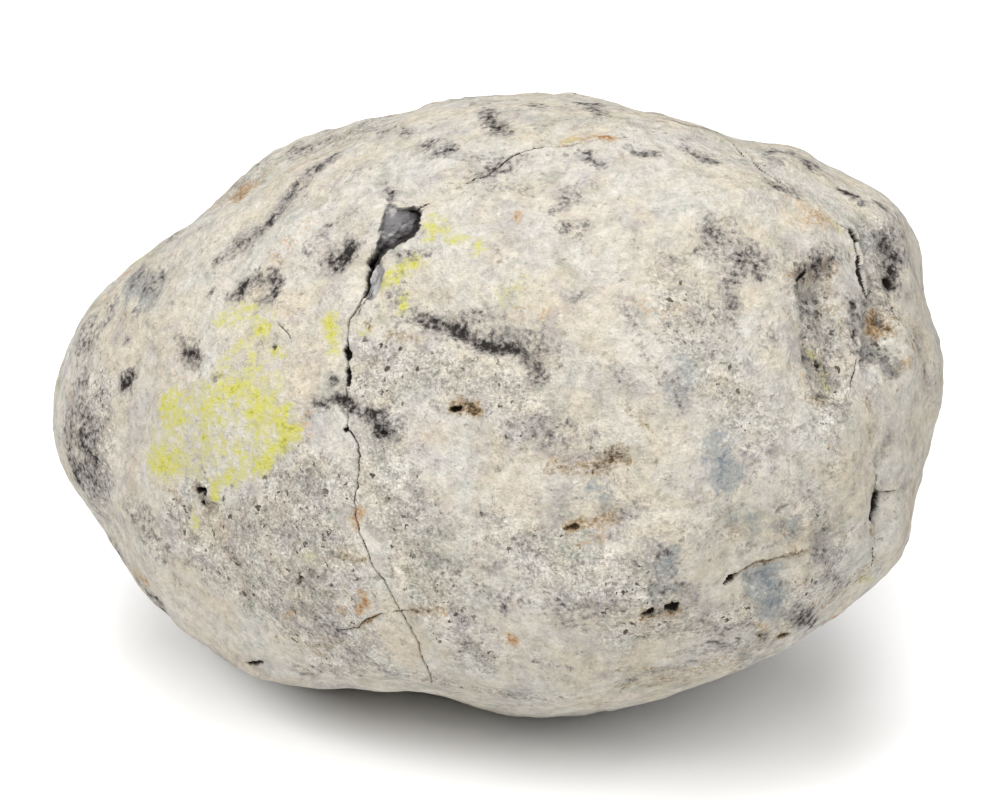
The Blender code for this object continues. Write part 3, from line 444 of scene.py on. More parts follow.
        (0.3, 0.9, (36.4, 12)), (0.3, 0.7, (37.8, 9.8), (38.2, 9.3)),
        (0.3, 0.9, (39.6, 11.8), (40, 10.9)), (0.3, 0.9, (40, 8.7), (40.2, 7.8)),
        (0.3, 0.7, (34.4, 9.8)), (0.3, 0.7, (35.7, 7.5)), (0.3, 0.6, (38.7, 6.4)),
        (0.3, 0.8, (43.4, 9.9), (43.5, 9.3)),
        # low left
        (0.45, 0.55, (-32.8, -12.2), (-31.8, -11.2)), (0.4, 0.7, (-27.6, -28.8), (-26.5, -29)),
        (0.3, 0.8, (-22, -20.3)), (0.4, 0.7, (-25.2, -13.8), (-24.3, -14.7)),
        (0.4, 0.7, (-20.4, -16.1), (-18.9, -16.5)), (0.3, 0.6, (-23.6, -19.7), (-24, -20.3)),
        (0.3, 0.8, (-22.2, -25.1), (-21.3, -25.5)), (0.4, 0.5, (-17.5, -26.6), (-16, -27.1)),
        (0.3, 0.5, (-30.1, -19.4), (-29.4, -20.1)), (0.4, 0.45, (-27.4, -21.9), (-26.5, -22.6)),
        (0.3, 0.7, (-27.9, -12.9), (-27.6, -13.4)), (0.3, 0.6, (-29.7, -17.4)),
        (0.4, 0.7, (-17.8, -25.1), (-17.1, -25.7)), (0.4, 0.6, (-16.4, -27.5), (-15.5, -28.2)),
        # low middle
        (0.3, 0.6, (16.6, -23.4), (19.9, -22.8)), (0.4, 0.6, (14.8, -31.1), (15.6, -30.8)),
        (0.4, 0.9, (15.3, -31.1), (16.2, -30.9)),
        # low right
        (0.42, 1, (42.3, -10.6), (42.1, -12.6)), (0.5, 0.5, (33.4, -24.2), (35.4, -24.8)),
        (0.5, 0.45, (24, -28.4), (24.8, -26.6)), (0.4, 0.7, (30.6, -19.7), (31.9, -20.1)),
        (0.3, 0.6, (23.4, -22.6), (22.7, -24.2)),
        (0.6, 0.5, (33, -22.4), (34.6, -23.5), (35.7, -24.4)),
        (0.4, 0.6, (30.1, -19.4), (31.7, -19.4)), (0.3, 0.6, (20.9, -20.1), (20, -20.8)),
        (0.4, 0.8, (23.4, -28)), (0.4, 0.9, (24.3, -26.9)), (0.4, 0.9, (29.4, -25.7)),
        (0.3, 0.7, (22.7, -26.9)), (0.3, 0.7, (27, -29.6), (27.6, -29.1)),
        (0.3, 0.7, (36.9, -17.6), (37.5, -17.2)),
    ),
    "lime": (
        # crown
        (0.6, 0.6, (7.6, 29.8), (9.7, 29.6)),
        # narrow end
        (1.5, 0.8, (-37.5, 0.1), (-36.2, 0.3), (-35.1, -0.1)),
        (1.3, 0.45, (-38.4, -3.9), (-37.5, -4.8)),
        (1.6, 0.95, (-38.7, -6.4), (-37.3, -7.1), (-36.2, -6.9)),
        # lime field
        (1.5, 0.75, (-27.4, 4.2), (-29.2, 2.8), (-31, 1.5), (-32.4, 0.1)),
        (1.5, 0.9, (-27.6, 0.3), (-25.8, -0.1), (-24.5, -1), (-23.6, -2.4)),
        (1.1, 1, (-23.1, -2.8), (-24.5, -4.2), (-25.8, -5.5), (-26.7, -6.6)),
        (0.9, 0.85, (-32.4, -0.6), (-32.6, -2.4), (-32.8, -4.2)),
        (1.1, 0.85, (-31.7, -8.7), (-30.1, -7.8), (-28.3, -7.3)),
        (0.8, 0.85, (-31.5, -9.3), (-31.7, -10.4)),
        (2.2, 0.55, (-30.6, 10), (-28.3, 10.4), (-26.5, 8.9)),
        (1.1, 0.45, (-27.9, 9.8), (-26.3, 8.4)), (0.9, 0.95, (-25.6, 6), (-24.5, 6.2)),
        (1.8, 0.4, (-29, 6), (-30.8, 3.9)),
        (3.4, 0.5, (-36.2, -1.7), (-31.9, 0.6), (-26.5, 1), (-24.9, -2.8), (-29, -5.1),
         (-35.7, -5.3)),
        (1.5, 0.6, (-30.3, 1), (-28.3, 1.5), (-27.6, 0.1)),
        # chip and upper crack
        (1.1, 0.95, (-18.9, 9.3), (-18.5, 7.8), (-18.7, 6)),
        (1.3, 1, (-12.8, 14), (-11.5, 14.7), (-10.6, 15.6), (-9.2, 16.1)),
        (0.7, 0.95, (-10.6, 12.2), (-10.6, 10.4)), (0.7, 0.5, (-15.7, 8), (-14.8, 8)),
        (0.9, 0.7, (-7.6, 20.8), (-7.6, 18.8)), (1.1, 0.7, (-6.5, 20.1), (-4.9, 18.8)),
        (1, 0.6, (-3.1, 18.1), (-2.2, 17.4)),
        # groove
        (1.6, 0.25, (0.8, 12), (2.5, 13.6)),
        # broad end
        (0.6, 0.9, (35.3, 6), (36.2, 5.1), (37.3, 4.2), (37.5, 2.1)),
        (0.7, 0.35, (36.9, 21.3), (38.9, 19.7), (39.8, 17.4)),
        # low left
        (0.7, 0.6, (-34.2, -11.6), (-34.2, -13.8)), (1.1, 0.3, (-22.2, -16.1), (-20.9, -17.4)),
        # low right
        (0.7, 0.7, (40.9, -19), (42, -19.7)),
    ),
    "rust": (
        # crown
        (1.6, 0.3, (7.6, 29.8), (12.6, 30)), (0.7, 1, (9.7, 29.9), (11.2, 30.1), (12.8, 29.9)),
        # upper left
        (2, 0.35, (-31, 22.6), (-27.4, 25.2)), (1.4, 0.3, (-25, 16.4), (-21.6, 20.4)),
        # narrow end
        (2.2, 0.25, (-38, 4), (-35, 2.4)),
        # lime field
        (1.1, 0.32, (-22.6, 2), (-21.4, 0.6), (-21.6, -3)),
        # groove
        (1.2, 0.3, (0.8, 10), (6.6, 10.6)),
        # middle
        (0.8, 0.85, (-4.8, -0.2), (-2.4, -0.4)), (0.7, 0.3, (6, -6.4), (9.6, -6.6)),
        (0.6, 1, (2.2, 21.7), (2.2, 21.2)),
        # right of the middle
        (1.6, 0.25, (14.2, 12), (18, 10.4)), (0.4, 0.6, (27, 0.3), (27.6, 0.2)),
        (0.6, 0.5, (24, 9.6)), (0.4, 0.5, (22.7, 0.6), (23.4, 0.1)),
        (0.9, 0.35, (10.6, -6.4), (14.2, -6.2)),
        # broad end
        (1.1, 0.35, (33, 20.6), (36.6, 21.6)), (1.1, 0.55, (32.8, 14.6), (37.6, 15.8)),
        (0.9, 1, (42.9, 10.2), (43.1, 9)), (1, 0.4, (45.6, 4.2)), (0.5, 0.5, (35, 6.8)),
        (0.4, 0.7, (34.4, 2.6)), (0.4, 0.7, (34.2, 0.4)), (2, 0.3, (32.8, 23), (37.3, 20.8)),
        (0.4, 0.6, (33.9, 3.7), (34.6, 3.3)), (1.8, 0.22, (44.4, 10.2), (45.4, 8.2), (46.8, 6.2)),
        # fold and rim, right
        (0.45, 0.7, (36.6, -9.8)), (0.5, 0.6, (43, -9.2), (42.8, -10)), (0.4, 0.4, (36.9, -4.6)),
        # low left
        (0.8, 0.9, (-17.5, -22.8)), (0.7, 1, (-15.1, -21), (-14.8, -21.9)),
        (0.7, 0.9, (-14.8, -22.6), (-15.7, -23)), (0.4, 0.9, (-15.1, -24.4), (-13.5, -23.6)),
        (0.8, 0.4, (-24, -23.7), (-22.5, -23)), (0.7, 0.75, (-15.5, -12), (-16, -13.4)),
        # low middle
        (0.6, 0.8, (7.8, -13.8), (13.6, -12.2)), (1.1, 0.35, (9.4, -15.6), (13, -14.4)),
        (0.7, 0.8, (-6.4, -23.3)), (0.8, 1, (1.7, -26.2)), (0.8, 0.5, (16.6, -23.6), (20.2, -23.4)),
        # low right
        (0.45, 0.9, (36.4, -24.6), (38.2, -23.4)), (0.5, 0.9, (31.6, -26), (32.6, -25.9)),
        (0.8, 0.5, (29, -24.4), (30.4, -25.2)), (0.4, 0.5, (27.6, -21.9)),
        (0.4, 0.7, (35.3, -22.4), (36.4, -21.9)), (0.3, 0.7, (38.2, -22.8), (39.3, -21.9)),
    ),
    "blue": (
        (1.3, 0.6, (-5.6, 28.9)),
        (2.2, 0.7, (-41.1, 14), (-39.1, 12.2)),
        (0.5, 0.6, (-30.6, -3), (-30.4, -3.8)),
        (1.6, 0.3, (9.9, -9.6), (11.9, -10.4)),
        (1.8, 0.4, (21, 5), (20, 1.6)), (2.2, 0.8, (25.2, -5.3), (25.6, -8)),
        (1.3, 0.5, (42.4, 6.4), (44.4, 4.6)), (1, 0.5, (42.6, 18.8), (44.2, 17.4)),
        (1.7, 0.8, (19.1, -17), (18.2, -19.7)),
        (1.6, 0.4, (26.6, -12), (28, -13.6)), (1.3, 0.5, (27.4, -28.2), (29.2, -28.8)),
        (1, 0.4, (30.6, -13.8), (34, -13.6)), (1, 0.7, (32.4, -23.5), (34.4, -24.6)),
        (1.3, 0.35, (31.7, -15.2), (33.5, -14)), (2.1, 1, (30.3, -20.1), (31, -22.4)),
    ),
    "brown": (
        # upper left
        (1.1, 0.4, (-27.2, 12.6), (-24.8, 12.4)),
        # lime field
        (1.2, 0.6, (-33.8, -9.4), (-32.4, -11.6)), (1.3, 0.5, (-35.6, 6.6), (-33.8, 4.8)),
        # chip and upper crack
        (0.5, 0.7, (-14.8, 9), (-14.4, 8.4)), (1, 0.35, (-11.6, 8), (-8.6, 7.4)),
        # middle
        (0.9, 0.9, (-5, -0.3), (-2.4, -0.5)), (0.8, 0.6, (5.6, -7.3), (8.3, -7.1), (11, -6.9)),
        (0.4, 0.9, (10.6, -7.5), (11.2, -7.1)),
        # right of the middle
        (0.5, 0.5, (14.6, -10.6)), (0.8, 0.35, (13.6, 0.6), (17.4, -3.4)),
        (0.7, 0.6, (12.6, -5.3), (13, -4.4)), (0.9, 0.75, (11.2, -7.3), (12.6, -6.4), (13.9, -5.3)),
        (0.4, 1, (12.1, -7.3), (12.8, -6.6)), (0.4, 0.9, (13.5, -5.3), (14.2, -6.4)),
        # broad end
        (1, 0.7, (33, 14.8), (37.6, 15.8)), (0.9, 0.6, (35, 5.4), (37.4, 4.4)),
        (0.8, 0.6, (34.8, 0.6), (37.8, 0.8)), (0.9, 0.4, (41.6, 0.6), (42, -3.6)),
        (2.2, 0.3, (35.1, 16.1), (37.3, 11.8), (39.6, 8.4)), (0.8, 0.9, (43.1, 10.3), (43.5, 9)),
        (0.5, 1, (43.3, 10), (43.5, 9.3)), (2.2, 0.3, (44.4, 10.2), (45.4, 8.2), (46.8, 6.2)),
        # low left
        (1.6, 0.35, (-20.6, -27.4), (-17.2, -26.8)), (1.2, 0.4, (-20.4, -16), (-15.4, -17.4)),
        (0.5, 0.7, (-16, -25), (-13.4, -23.8)),
        # low middle
        (0.6, 0.7, (7.8, -13.8), (10.6, -13.2), (13.8, -12.2)),
        (0.9, 0.7, (16.6, -23.5), (20.2, -23.3)), (1, 0.4, (14, -29.6), (20, -30)),
        (0.6, 0.8, (-9.6, -22.8), (-6.8, -22.9)),
        # low right
        (0.9, 0.6, (42.2, -9), (42.1, -13.6)),
        (2.7, 0.38, (31, -25.5), (34.6, -23.7), (38.2, -21.5), (41.1, -18.8)),
        (2.5, 0.34, (13.7, -32), (21.6, -30.2), (27.2, -28.2)),
        (0.4, 0.8, (26.5, -19), (28.8, -18), (32, -17.4), (35.4, -16.6)),
        (0.6, 0.9, (31.9, -26), (32.6, -25.7)), (0.4, 0.8, (29.2, -25.7), (29.7, -26.4)),
        (0.8, 0.6, (19.6, -28.4), (20.7, -27.8)), (3.4, 0.2, (24, -14), (32, -16), (38, -14)),
    ),
    "speckled": (
        # crown
        (2.6, 0.3, (-8, 30), (4, 33), (18, 31)),
        # crown knob
        (2.6, 0.4, (24, 28), (34, 27)),
        # upper left
        (2.8, 0.5, (-29, 18), (-22, 24)),
        # narrow end
        (4, 0.75, (-45, 2), (-45, -8)), (3.2, 0.4, (-42, 10), (-38, 15)),
        # lime field
        (2.4, 0.5, (-22, -5), (-19, -8)),
        # chip and upper crack
        (3.4, 0.6, (-14.6, 6), (-12, -6)),
        # middle
        (4.2, 0.55, (-10, 5), (2, 1)), (3.6, 0.45, (4, -3), (12, -4)),
        # right of the middle
        (4.7, 0.5, (20, 14), (22.7, 5.1), (29.4, -2.8)),
        # broad end
        (3.2, 1, (35.4, 13), (36.6, 8), (37.6, 1)), (3.2, 0.8, (42.6, 19), (43.8, 13)),
        (1.7, 0.8, (42.6, 7), (44.4, 4.4)),
        # fold and rim, right
        (2.4, 0.4, (37, -1), (38, -6)),
        # low left
        (7, 1, (-33, -14), (-27, -19), (-19, -25)), (5.5, 0.8, (-24, -12), (-20, -18)),
        (3, 0.5, (-20, -8), (-18, -22)),
        # low middle
        (4.5, 0.6, (-13, -9), (-8, -20), (-2, -28)), (4.5, 0.5, (0, -14), (8, -20), (16, -22)),
        (4.7, 0.35, (11.5, -10.7), (20.4, -15.2), (27.2, -10.7)),
        (3.8, 0.5, (7, -17.4), (16, -21.9)),
        (1.8, 0.6, (-22.2, -29.6), (-11, -30), (-3.1, -32), (7, -33.1)),
        # low right
        (3.4, 0.5, (34, -10), (38, -16)), (3.8, 0.6, (14, -26), (26.1, -24.2), (36, -20)),
    ),
}
RAGGED, RAGGED_SIZE = 0.35, 1.7  # how uneven a stain's edge is, and the size of its lumps
STAIN_FADE = 1.55  # reaches over which a stain fades
BROAD_STAINS = ("grey", "blue", "speckled")
BROAD_SWAYS = ((4.0, 0.9), (1.6, 0.8))  # mm: lumps, and how far they push the stains about
FINE_SWAYS = ((3.0, 0.4), (1.0, 0.3))

# The rest of the stone, seeded. Each kind has its count, the spans of the two sizes that its
# table above holds, and where they aren't the usual ones its longest stroke in mm and its bend.
REST_SEED = 23
REST_CRACKS, REST_CRACK_LENGTH, REST_CRACK_BEND = 7, (8, 22), 0.2
REST_CRACK_HALF, REST_CRACK_DEPTH = (0.02, 0.08), (0.1, 0.7)  # at its ends, and more in its middle
REST_PITS = (60, (0.2, 0.5), (0.4, 1.1), 0.6, 0.9)
REST_CREASES = (70, (0.5, 2.2), (-0.5, 0.4), 9.0)
REST_LEDGES = (90, (0.1, 0.4), (0.8, 2.4), 12.0)
REST_STAINS = {
    "grey": (110, (0.8, 3.0), (0.3, 0.9)),
    "black": (70, (0.3, 0.9), (0.4, 0.9)),
    "lime": (16, (0.6, 1.8), (0.3, 0.8)),
    "rust": (46, (0.3, 1.3), (0.3, 0.9)),
    "blue": (14, (0.8, 2.0), (0.3, 0.8)),
    "brown": (34, (0.5, 1.2), (0.3, 0.9)),
    "speckled": (34, (2.4, 7.0), (0.4, 1.0)),
}
REST_STROKE, REST_BEND = 6.0, 0.5
REST_SIDE = 0.05  # as a share of the eye's distance, how far the rest turns to the eye
REST_LOWEST = -0.93  # nothing is placed where the stone stands


# Places on the stone


def on_drawing(points):
    """The (right, up) in mm of points in space, and how far behind the face's middle they are."""
    local = (points - np.array(FACE_MIDDLE)) @ np.array(LEANING)
    nearing = 1 + local[:, 1:2] / EYE_DISTANCE
    return local[:, ::2] / nearing / MM, local[:, 1] / MM


def spot(tree, right, up):
    """Where a place of the drawing lies on the surface, pulled in if it misses the rim."""
    for pull in range(RIM_PULLS):
        keep = 1 - RIM_PULL * pull
        sight = LEANING @ Vector((right * keep * MM, EYE_DISTANCE, up * keep * MM))
        point = tree.ray_cast(EYE, sight.normalized())[0]
        if point:
            return point
    raise ValueError(f"no surface at {right}, {up}")


def spaced(points, step):
    """Rows (right, up, ...) of a drawn path, filled in so that they are a step apart."""
    rows = np.array(points, float)
    if len(rows) == 1:
        return rows
    along = np.concatenate([[0], np.cumsum(np.hypot(*np.diff(rows[:, :2], axis=0).T))])
    steps = np.linspace(0, along[-1], max(2, int(along[-1] / step) + 2))
    return np.stack([np.interp(steps, along, column) for column in rows.T], axis=1)


def laid(tree, path):
    """A drawn path as an array of points on the surface."""
    return np.array([spot(tree, *row[:2]) for row in spaced(path, STROKE_STEP)])


def to_segment(points, start, end):
    """Each point's way from the nearest place on a segment, its square, and the place's share."""
    run = end - start
    share = np.clip((points - start) @ run / max(run @ run, TINY), 0, 1)
    away = points - start - share[:, None] * run
    return away, np.einsum("ij,ij->i", away, away), share


def distance_to(points, path):
    """Each point's distance to a path, in the path's own unit."""
    best = np.full(len(points), np.inf)
    for start, end in zip(path, path[1:] if len(path) > 1 else path):
        best = np.minimum(best, to_segment(points, start, end)[1])
    return np.sqrt(best)


def beside(points, path):
    """Each point's distance to a path, signed by its side, and how far along the path it is."""
    best = np.full(len(points), np.inf)
    along, side = np.zeros(len(points)), np.ones(len(points))
    outward = points - np.array(FACE_MIDDLE)
    for index, (start, end) in enumerate(zip(path, path[1:])):
        away, squared, share = to_segment(points, start, end)
        nearer = squared < best
        best[nearer] = squared[nearer]
        along[nearer] = (index + share)[nearer]
        turn = np.einsum("ij,ij->i", np.cross(end - start, away), outward)
        side[nearer] = np.sign(turn)[nearer]
    return np.sqrt(best) * np.where(side < 0, -1, 1), along


def near(points, path, reach):
    """Indices of the points within reach (mm) of a path's box."""
    low, high = path.min(0) - reach * MM, path.max(0) + reach * MM
    return np.flatnonzero(((points > low) & (points < high)).all(1))


def inside(flat, polygon):
    """Which drawn points lie inside a polygon."""
    found = np.zeros(len(flat), bool)
    for (x0, y0), (x1, y1) in zip(polygon, polygon[1:] + polygon[:1]):
        spans = (y0 > flat[:, 1]) != (y1 > flat[:, 1])
        rise = y1 - y0 if y1 != y0 else TINY
        found ^= spans & (flat[:, 0] < x0 + (x1 - x0) * (flat[:, 1] - y0) / rise)
    return found


def smoothstep(low, high, value):
    """0 up to low and 1 from high on, with a smooth rise between."""
    share = np.clip((value - low) / (high - low), 0, 1)
    return share * share * (3 - 2 * share)


def noise_at(points, size, shift=0.0):
    """Smooth noise from about -1 to 1 at points in space; size is a lump's, in mm."""
    offset = NOISE_OFFSET + Vector((shift, 0, -shift))
    return np.array([noise.noise(Vector(place) + offset) for place in points / (size * MM)])


def swayed(points, sways):
    """The points moved about by smooth noise, so that what is drawn over them turns ragged."""
    noise.seed_set(SWAY_SEED)  # without it, the vector noise is a new one in each run
    moved = points.copy()
    for size, reach in sways:
        ways = [noise.noise_vector(Vector(p) + NOISE_OFFSET) for p in points / (size * MM)]
        moved += reach * MM * np.array(ways)
    return moved


# The rind's mesh


def even_ball():
    """A ball of six patches of quads, all of about one size."""
    bm = bmesh.new()
    bmesh.ops.create_cube(bm, size=2)
    bmesh.ops.subdivide_edges(bm, edges=bm.edges, cuts=BALL_CUTS - 1, use_grid_fill=True)
    for vert in bm.verts:
        vert.co = Vector([math.tan(c * math.pi / 4) for c in vert.co]).normalized()
    return bm


def solid_tree(node):
    """A search tree of the solid, from a merged copy of its mesh."""
    bm = bmesh.new()
    bm.from_mesh(node.data)
    bmesh.ops.remove_doubles(bm, verts=bm.verts, dist=SAME_SPOT)
    tree = BVHTree.FromBMesh(bm)
    bm.free()
    return tree


def positions(bm):
    return np.array([vert.co[:] for vert in bm.verts])


def place(bm, points):
    for vert, point in zip(bm.verts, points):
        vert.co = point
    bm.normal_update()


def edge_pairs(bm):
    bm.verts.index_update()
    return np.array([[vert.index for vert in edge.verts] for edge in bm.edges])


def averaged(values, pairs, rounds, moving=None):
    """Values evened out with their neighbours', by rounds, only where moving if that is given."""
    count = np.bincount(pairs.ravel(), minlength=len(values))
    for _ in range(rounds):
        total = np.bincount(pairs[:, 0], values[pairs[:, 1]], len(values))
        total += np.bincount(pairs[:, 1], values[pairs[:, 0]], len(values))
        even = (values + total) / (count + 1)
        values = even if moving is None else np.where(moving, even, values)
    return values


def solid_cuts():
    """Every cut in the solid's face as (drawn path, reach)."""
    for points in CRACKS.values():
        yield [p[:2] for p in points], SOLID_CRACK_REACH
    for path, reach, _ in PITS.values():
        yield path, reach
    yield CHIP_STEEP + CHIP_SOFT[:1], SOLID_CRACK_REACH
    yield CHIP_SOFT + CHIP_STEEP[:1], SOLID_CRACK_REACH
    yield CHIP_FLOOR, SOLID_CHIP_REACH


def lay_ball(bm, tree):
    """Lays the ball on the solid, closes the solid's cuts over and rounds its facets."""
    ways = positions(bm)
    middle = np.array(FACE_MIDDLE)
    hits = [tree.ray_cast(FACE_MIDDLE + Vector(way) * FAR, -Vector(way))[0] for way in ways]
    radii = np.array([(hit - FACE_MIDDLE).length for hit in hits])
    flat, depth = on_drawing(middle + ways * radii[:, None])
    cut = np.zeros(len(radii), bool)
    for path, reach in solid_cuts():
        cut |= distance_to(flat, np.array(path, float)) < reach + HEAL_MARGIN
    cut &= depth < FRONT_REACH
    pairs = edge_pairs(bm)
    radii = averaged(radii, pairs, HEAL_ROUNDS, cut)
    radii = averaged(radii, pairs, FACET_ROUNDS)
    place(bm, middle + ways * radii[:, None])


def refine(bm, cuts):
    """Halves the edges near the cuts, once per margin."""
    for margin in REFINE_MARGINS:
        points = positions(bm)
        close = np.zeros(len(points), bool)
        for path, reach in cuts:
            found = near(points, path, reach + margin)
            close[found] |= distance_to(points[found], path) < (reach + margin) * MM
        bm.verts.index_update()
        chosen = [e for e in bm.edges if close[e.verts[0].index] and close[e.verts[1].index]]
        bmesh.ops.subdivide_edges(
            bm, edges=chosen, cuts=1, use_grid_fill=True, use_single_edge=True
        )
        bmesh.ops.triangulate(bm, faces=[face for face in bm.faces if len(face.verts) > 4])
    bm.normal_update()


def crack_line(tree, points):
    """A crack's path on the surface, with its half width and depth at each point."""
    rows = spaced(points, CRACK_STEP)
    flat = np.column_stack([rows[:, :2], np.zeros(len(rows))]) * MM
    for size, reach in CRACK_WAVERS:
        rows[:, 0] += reach * noise_at(flat, size)
        rows[:, 1] += reach * noise_at(flat, size, shift=9.0)
    rows[:, 2] *= 1 + CRACK_UNEVEN * noise_at(flat, CRACK_UNEVEN_SIZE, shift=4.0)
    return np.array([spot(tree, right, up) for right, up in rows[:, :2]]), rows[:, 2], rows[:, 3]


def relief(skin, creases, ledges):
    """The rind's unevenness at each point, in mm, and which of its flakes are the pale ones."""
    height = sum(tall * noise_at(skin, size, shift=size) for size, tall in LUMPS)
    layers = FLAKE_LAYERS * noise_at(skin, FLAKE_SIZE, shift=3.0)
    layers += FRAY * noise_at(skin, FRAY_SIZE, shift=5.0)
    whole = np.floor(layers)
    step = whole + smoothstep(0.5 - FLAKE_EDGE, 0.5 + FLAKE_EDGE, layers - whole) - layers
    height += FLAKE_STEP * step * smoothstep(*FLAKY, noise_at(skin, FLAKY_SIZE, shift=7.0))
    for path, reach, rise in creases:
        found = near(skin, path, 2 * reach)
        share = distance_to(skin[found], path) / (reach * MM)
        height[found] += rise * (1 - smoothstep(0, CREASE_FADE, share))
    uneven = LEDGE_UNEVEN * noise_at(skin, LEDGE_UNEVEN_SIZE, shift=6.0)
    for path, drop, run in ledges:
        found = near(skin, path, 3 * run)
        side, along = beside(skin[found], path)
        side = side / MM + uneven[found]
        along /= len(path) - 1
        ends = smoothstep(0, LEDGE_TAPER, along) * smoothstep(1, 1 - LEDGE_TAPER, along)
        wall = smoothstep(0, LEDGE_WALL, side) * np.exp(-np.maximum(side, 0) / run)
        height[found] -= drop * ends * np.where(side > 0, wall, 0)
    return height, (whole % 2 + (layers - whole > 0.5)) % 2


def carve_chip(skin):
    """The chip's depth along the line of sight, its slate's cover, and mm from its steep wall for
    its painted shade.
    """
    flat, depth = on_drawing(swayed(skin, CHIP_SWAYS))
    steep = distance_to(flat, np.array(CHIP_STEEP))
    soft = distance_to(flat, np.array(CHIP_SOFT + CHIP_STEEP[:1]))
    within = inside(flat, CHIP_STEEP + CHIP_SOFT) & (depth < FRONT_REACH)
    drop = CHIP_SHALLOW + (CHIP_DEEP - CHIP_SHALLOW) * np.exp(-steep / CHIP_RUN)
    drop += sum(tall * noise_at(skin, size, shift=2.0) for size, tall in CHIP_UNEVEN)
    drop *= smoothstep(0, CHIP_STEEP_WALL, steep) * smoothstep(0, CHIP_SOFT_WALL, soft)
    inward = np.where(within, steep, -steep)
    slate = smoothstep(-CHIP_RIM, -CHIP_RIM_FULL, inward) * smoothstep(*CHIP_BARE, soft)
    slate[depth >= FRONT_REACH] = 0
    # Painted shade: right by the steep edge the wall counts as 0 mm away, so the material paints it
    # darkest.
    by_wall = np.abs(inward) < CHIP_RIM
    wall = np.where(by_wall, np.maximum(inward, 0), np.where(within, steep, OFF_WALL))
    return np.where(within, drop, 0), slate, wall


def carve_cracks(skin, lines):
    """The cracks' depth, and the nearest one's signed distance and half width, in mm."""
    drop = np.zeros(len(skin))
    across = np.full(len(skin), CRACK_FIELD)
    halves = np.zeros(len(skin))
    for path, half, depth in lines:
        found = near(skin, path, CRACK_FIELD)
        side, along = beside(skin[found], path)
        side /= MM
        steps = np.arange(len(path))
        wide, deep = np.interp(along, steps, half), np.interp(along, steps, depth)
        share = np.abs(side) / np.maximum(wide, CRACK_CUT)
        cut = deep * np.clip(1 - share**2, 0, 1) ** CRACK_ROUND
        drop[found] = np.maximum(drop[found], cut)
        nearer = np.abs(side) < np.abs(across[found])
        across[found[nearer]] = side[nearer]
        halves[found[nearer]] = np.where(np.abs(side) < CRACK_SHADE_FIELD, wide, 0)[nearer]
    return drop, across, halves


def carve_pits(skin, pits):
    """How deep the pits are at each point, in mm, and how dark their painted shade is."""
    drop, dark = np.zeros(len(skin)), np.zeros(len(skin))
    for path, reach, depth in pits:
        found = near(skin, path, 2 * reach)
        share = distance_to(skin[found], path) / (reach * MM)
        share *= 1 + PIT_RAGGED * noise_at(skin[found], PIT_RAGGED_SIZE)
        fall = PIT_STEEP if depth >= PIT_SHALLOW else PIT_OPEN
        drop[found] = np.maximum(drop[found], depth * np.clip(1 - share**2, 0, 1) ** fall)
        # The deeper pits are painted dark, as the shade in them.
        shade = (1 - smoothstep(*PIT_SHADE_RIM, share)) * smoothstep(PIT_SHALLOW, PIT_FULL_SHADE, depth)
        dark[found] = np.maximum(dark[found], shade)
    return drop, dark


def painted(skin, ragged, strokes):
    """How strong a kind of stain is at each point."""
    cover = np.zeros(len(skin))
    for path, reach, strength in strokes:
        found = near(skin, path, 2 * reach)
        share = distance_to(skin[found], path) / (reach * MM) + ragged[found]
        more = strength * (1 - smoothstep(0, STAIN_FADE, share))
        cover[found] += more * (1 - cover[found])
    return cover


# Marks on the sides that the drawing doesn't show


def turned_away(rng):
    """A seeded direction from the middle of the stone that doesn't face the eye."""
    while True:
        way = Vector([rng.gauss(0, 1) for _ in range(3)]).normalized()
        if way.dot(EYE - FACE_MIDDLE) < REST_SIDE * EYE_DISTANCE and way.z > REST_LOWEST:
            return way


def walk(tree, rng, length, bend):
    """A seeded path over the surface, as an array of points."""
    way = turned_away(rng)
    heading = way.orthogonal()
    heading.rotate(Matrix.Rotation(rng.uniform(0, 2 * math.pi), 3, way))
    path, gone = [], 0.0
    while gone <= length:
        point = tree.ray_cast(FACE_MIDDLE + way * FAR, -way)[0]
        path.append(point)
        heading.rotate(Matrix.Rotation(rng.gauss(0, bend), 3, way))
        onward = (point - FACE_MIDDLE) + heading * STROKE_STEP * MM
        way = onward.normalized()
        heading = (heading - way * heading.dot(way)).normalized()
        gone += STROKE_STEP
    return np.array(path)


def rest_strokes(tree, rng, count, reach, strength, longest, bend=REST_BEND):
    """Seeded strokes, as (path, reach, strength), that are mostly short."""
    strokes = []
    for _ in range(count):
        path = walk(tree, rng, 1 + longest * rng.random() ** 2, bend)
        strokes.append((path, rng.uniform(*reach), rng.uniform(*strength)))
    return strokes


def rest_crack(tree, rng):
    """A seeded crack, widest and deepest in its middle."""
    path = walk(tree, rng, rng.uniform(*REST_CRACK_LENGTH), REST_CRACK_BEND)
    taper = np.sin(np.linspace(0, math.pi, len(path)))
    return path, *(least + more * taper for least, more in (REST_CRACK_HALF, REST_CRACK_DEPTH))


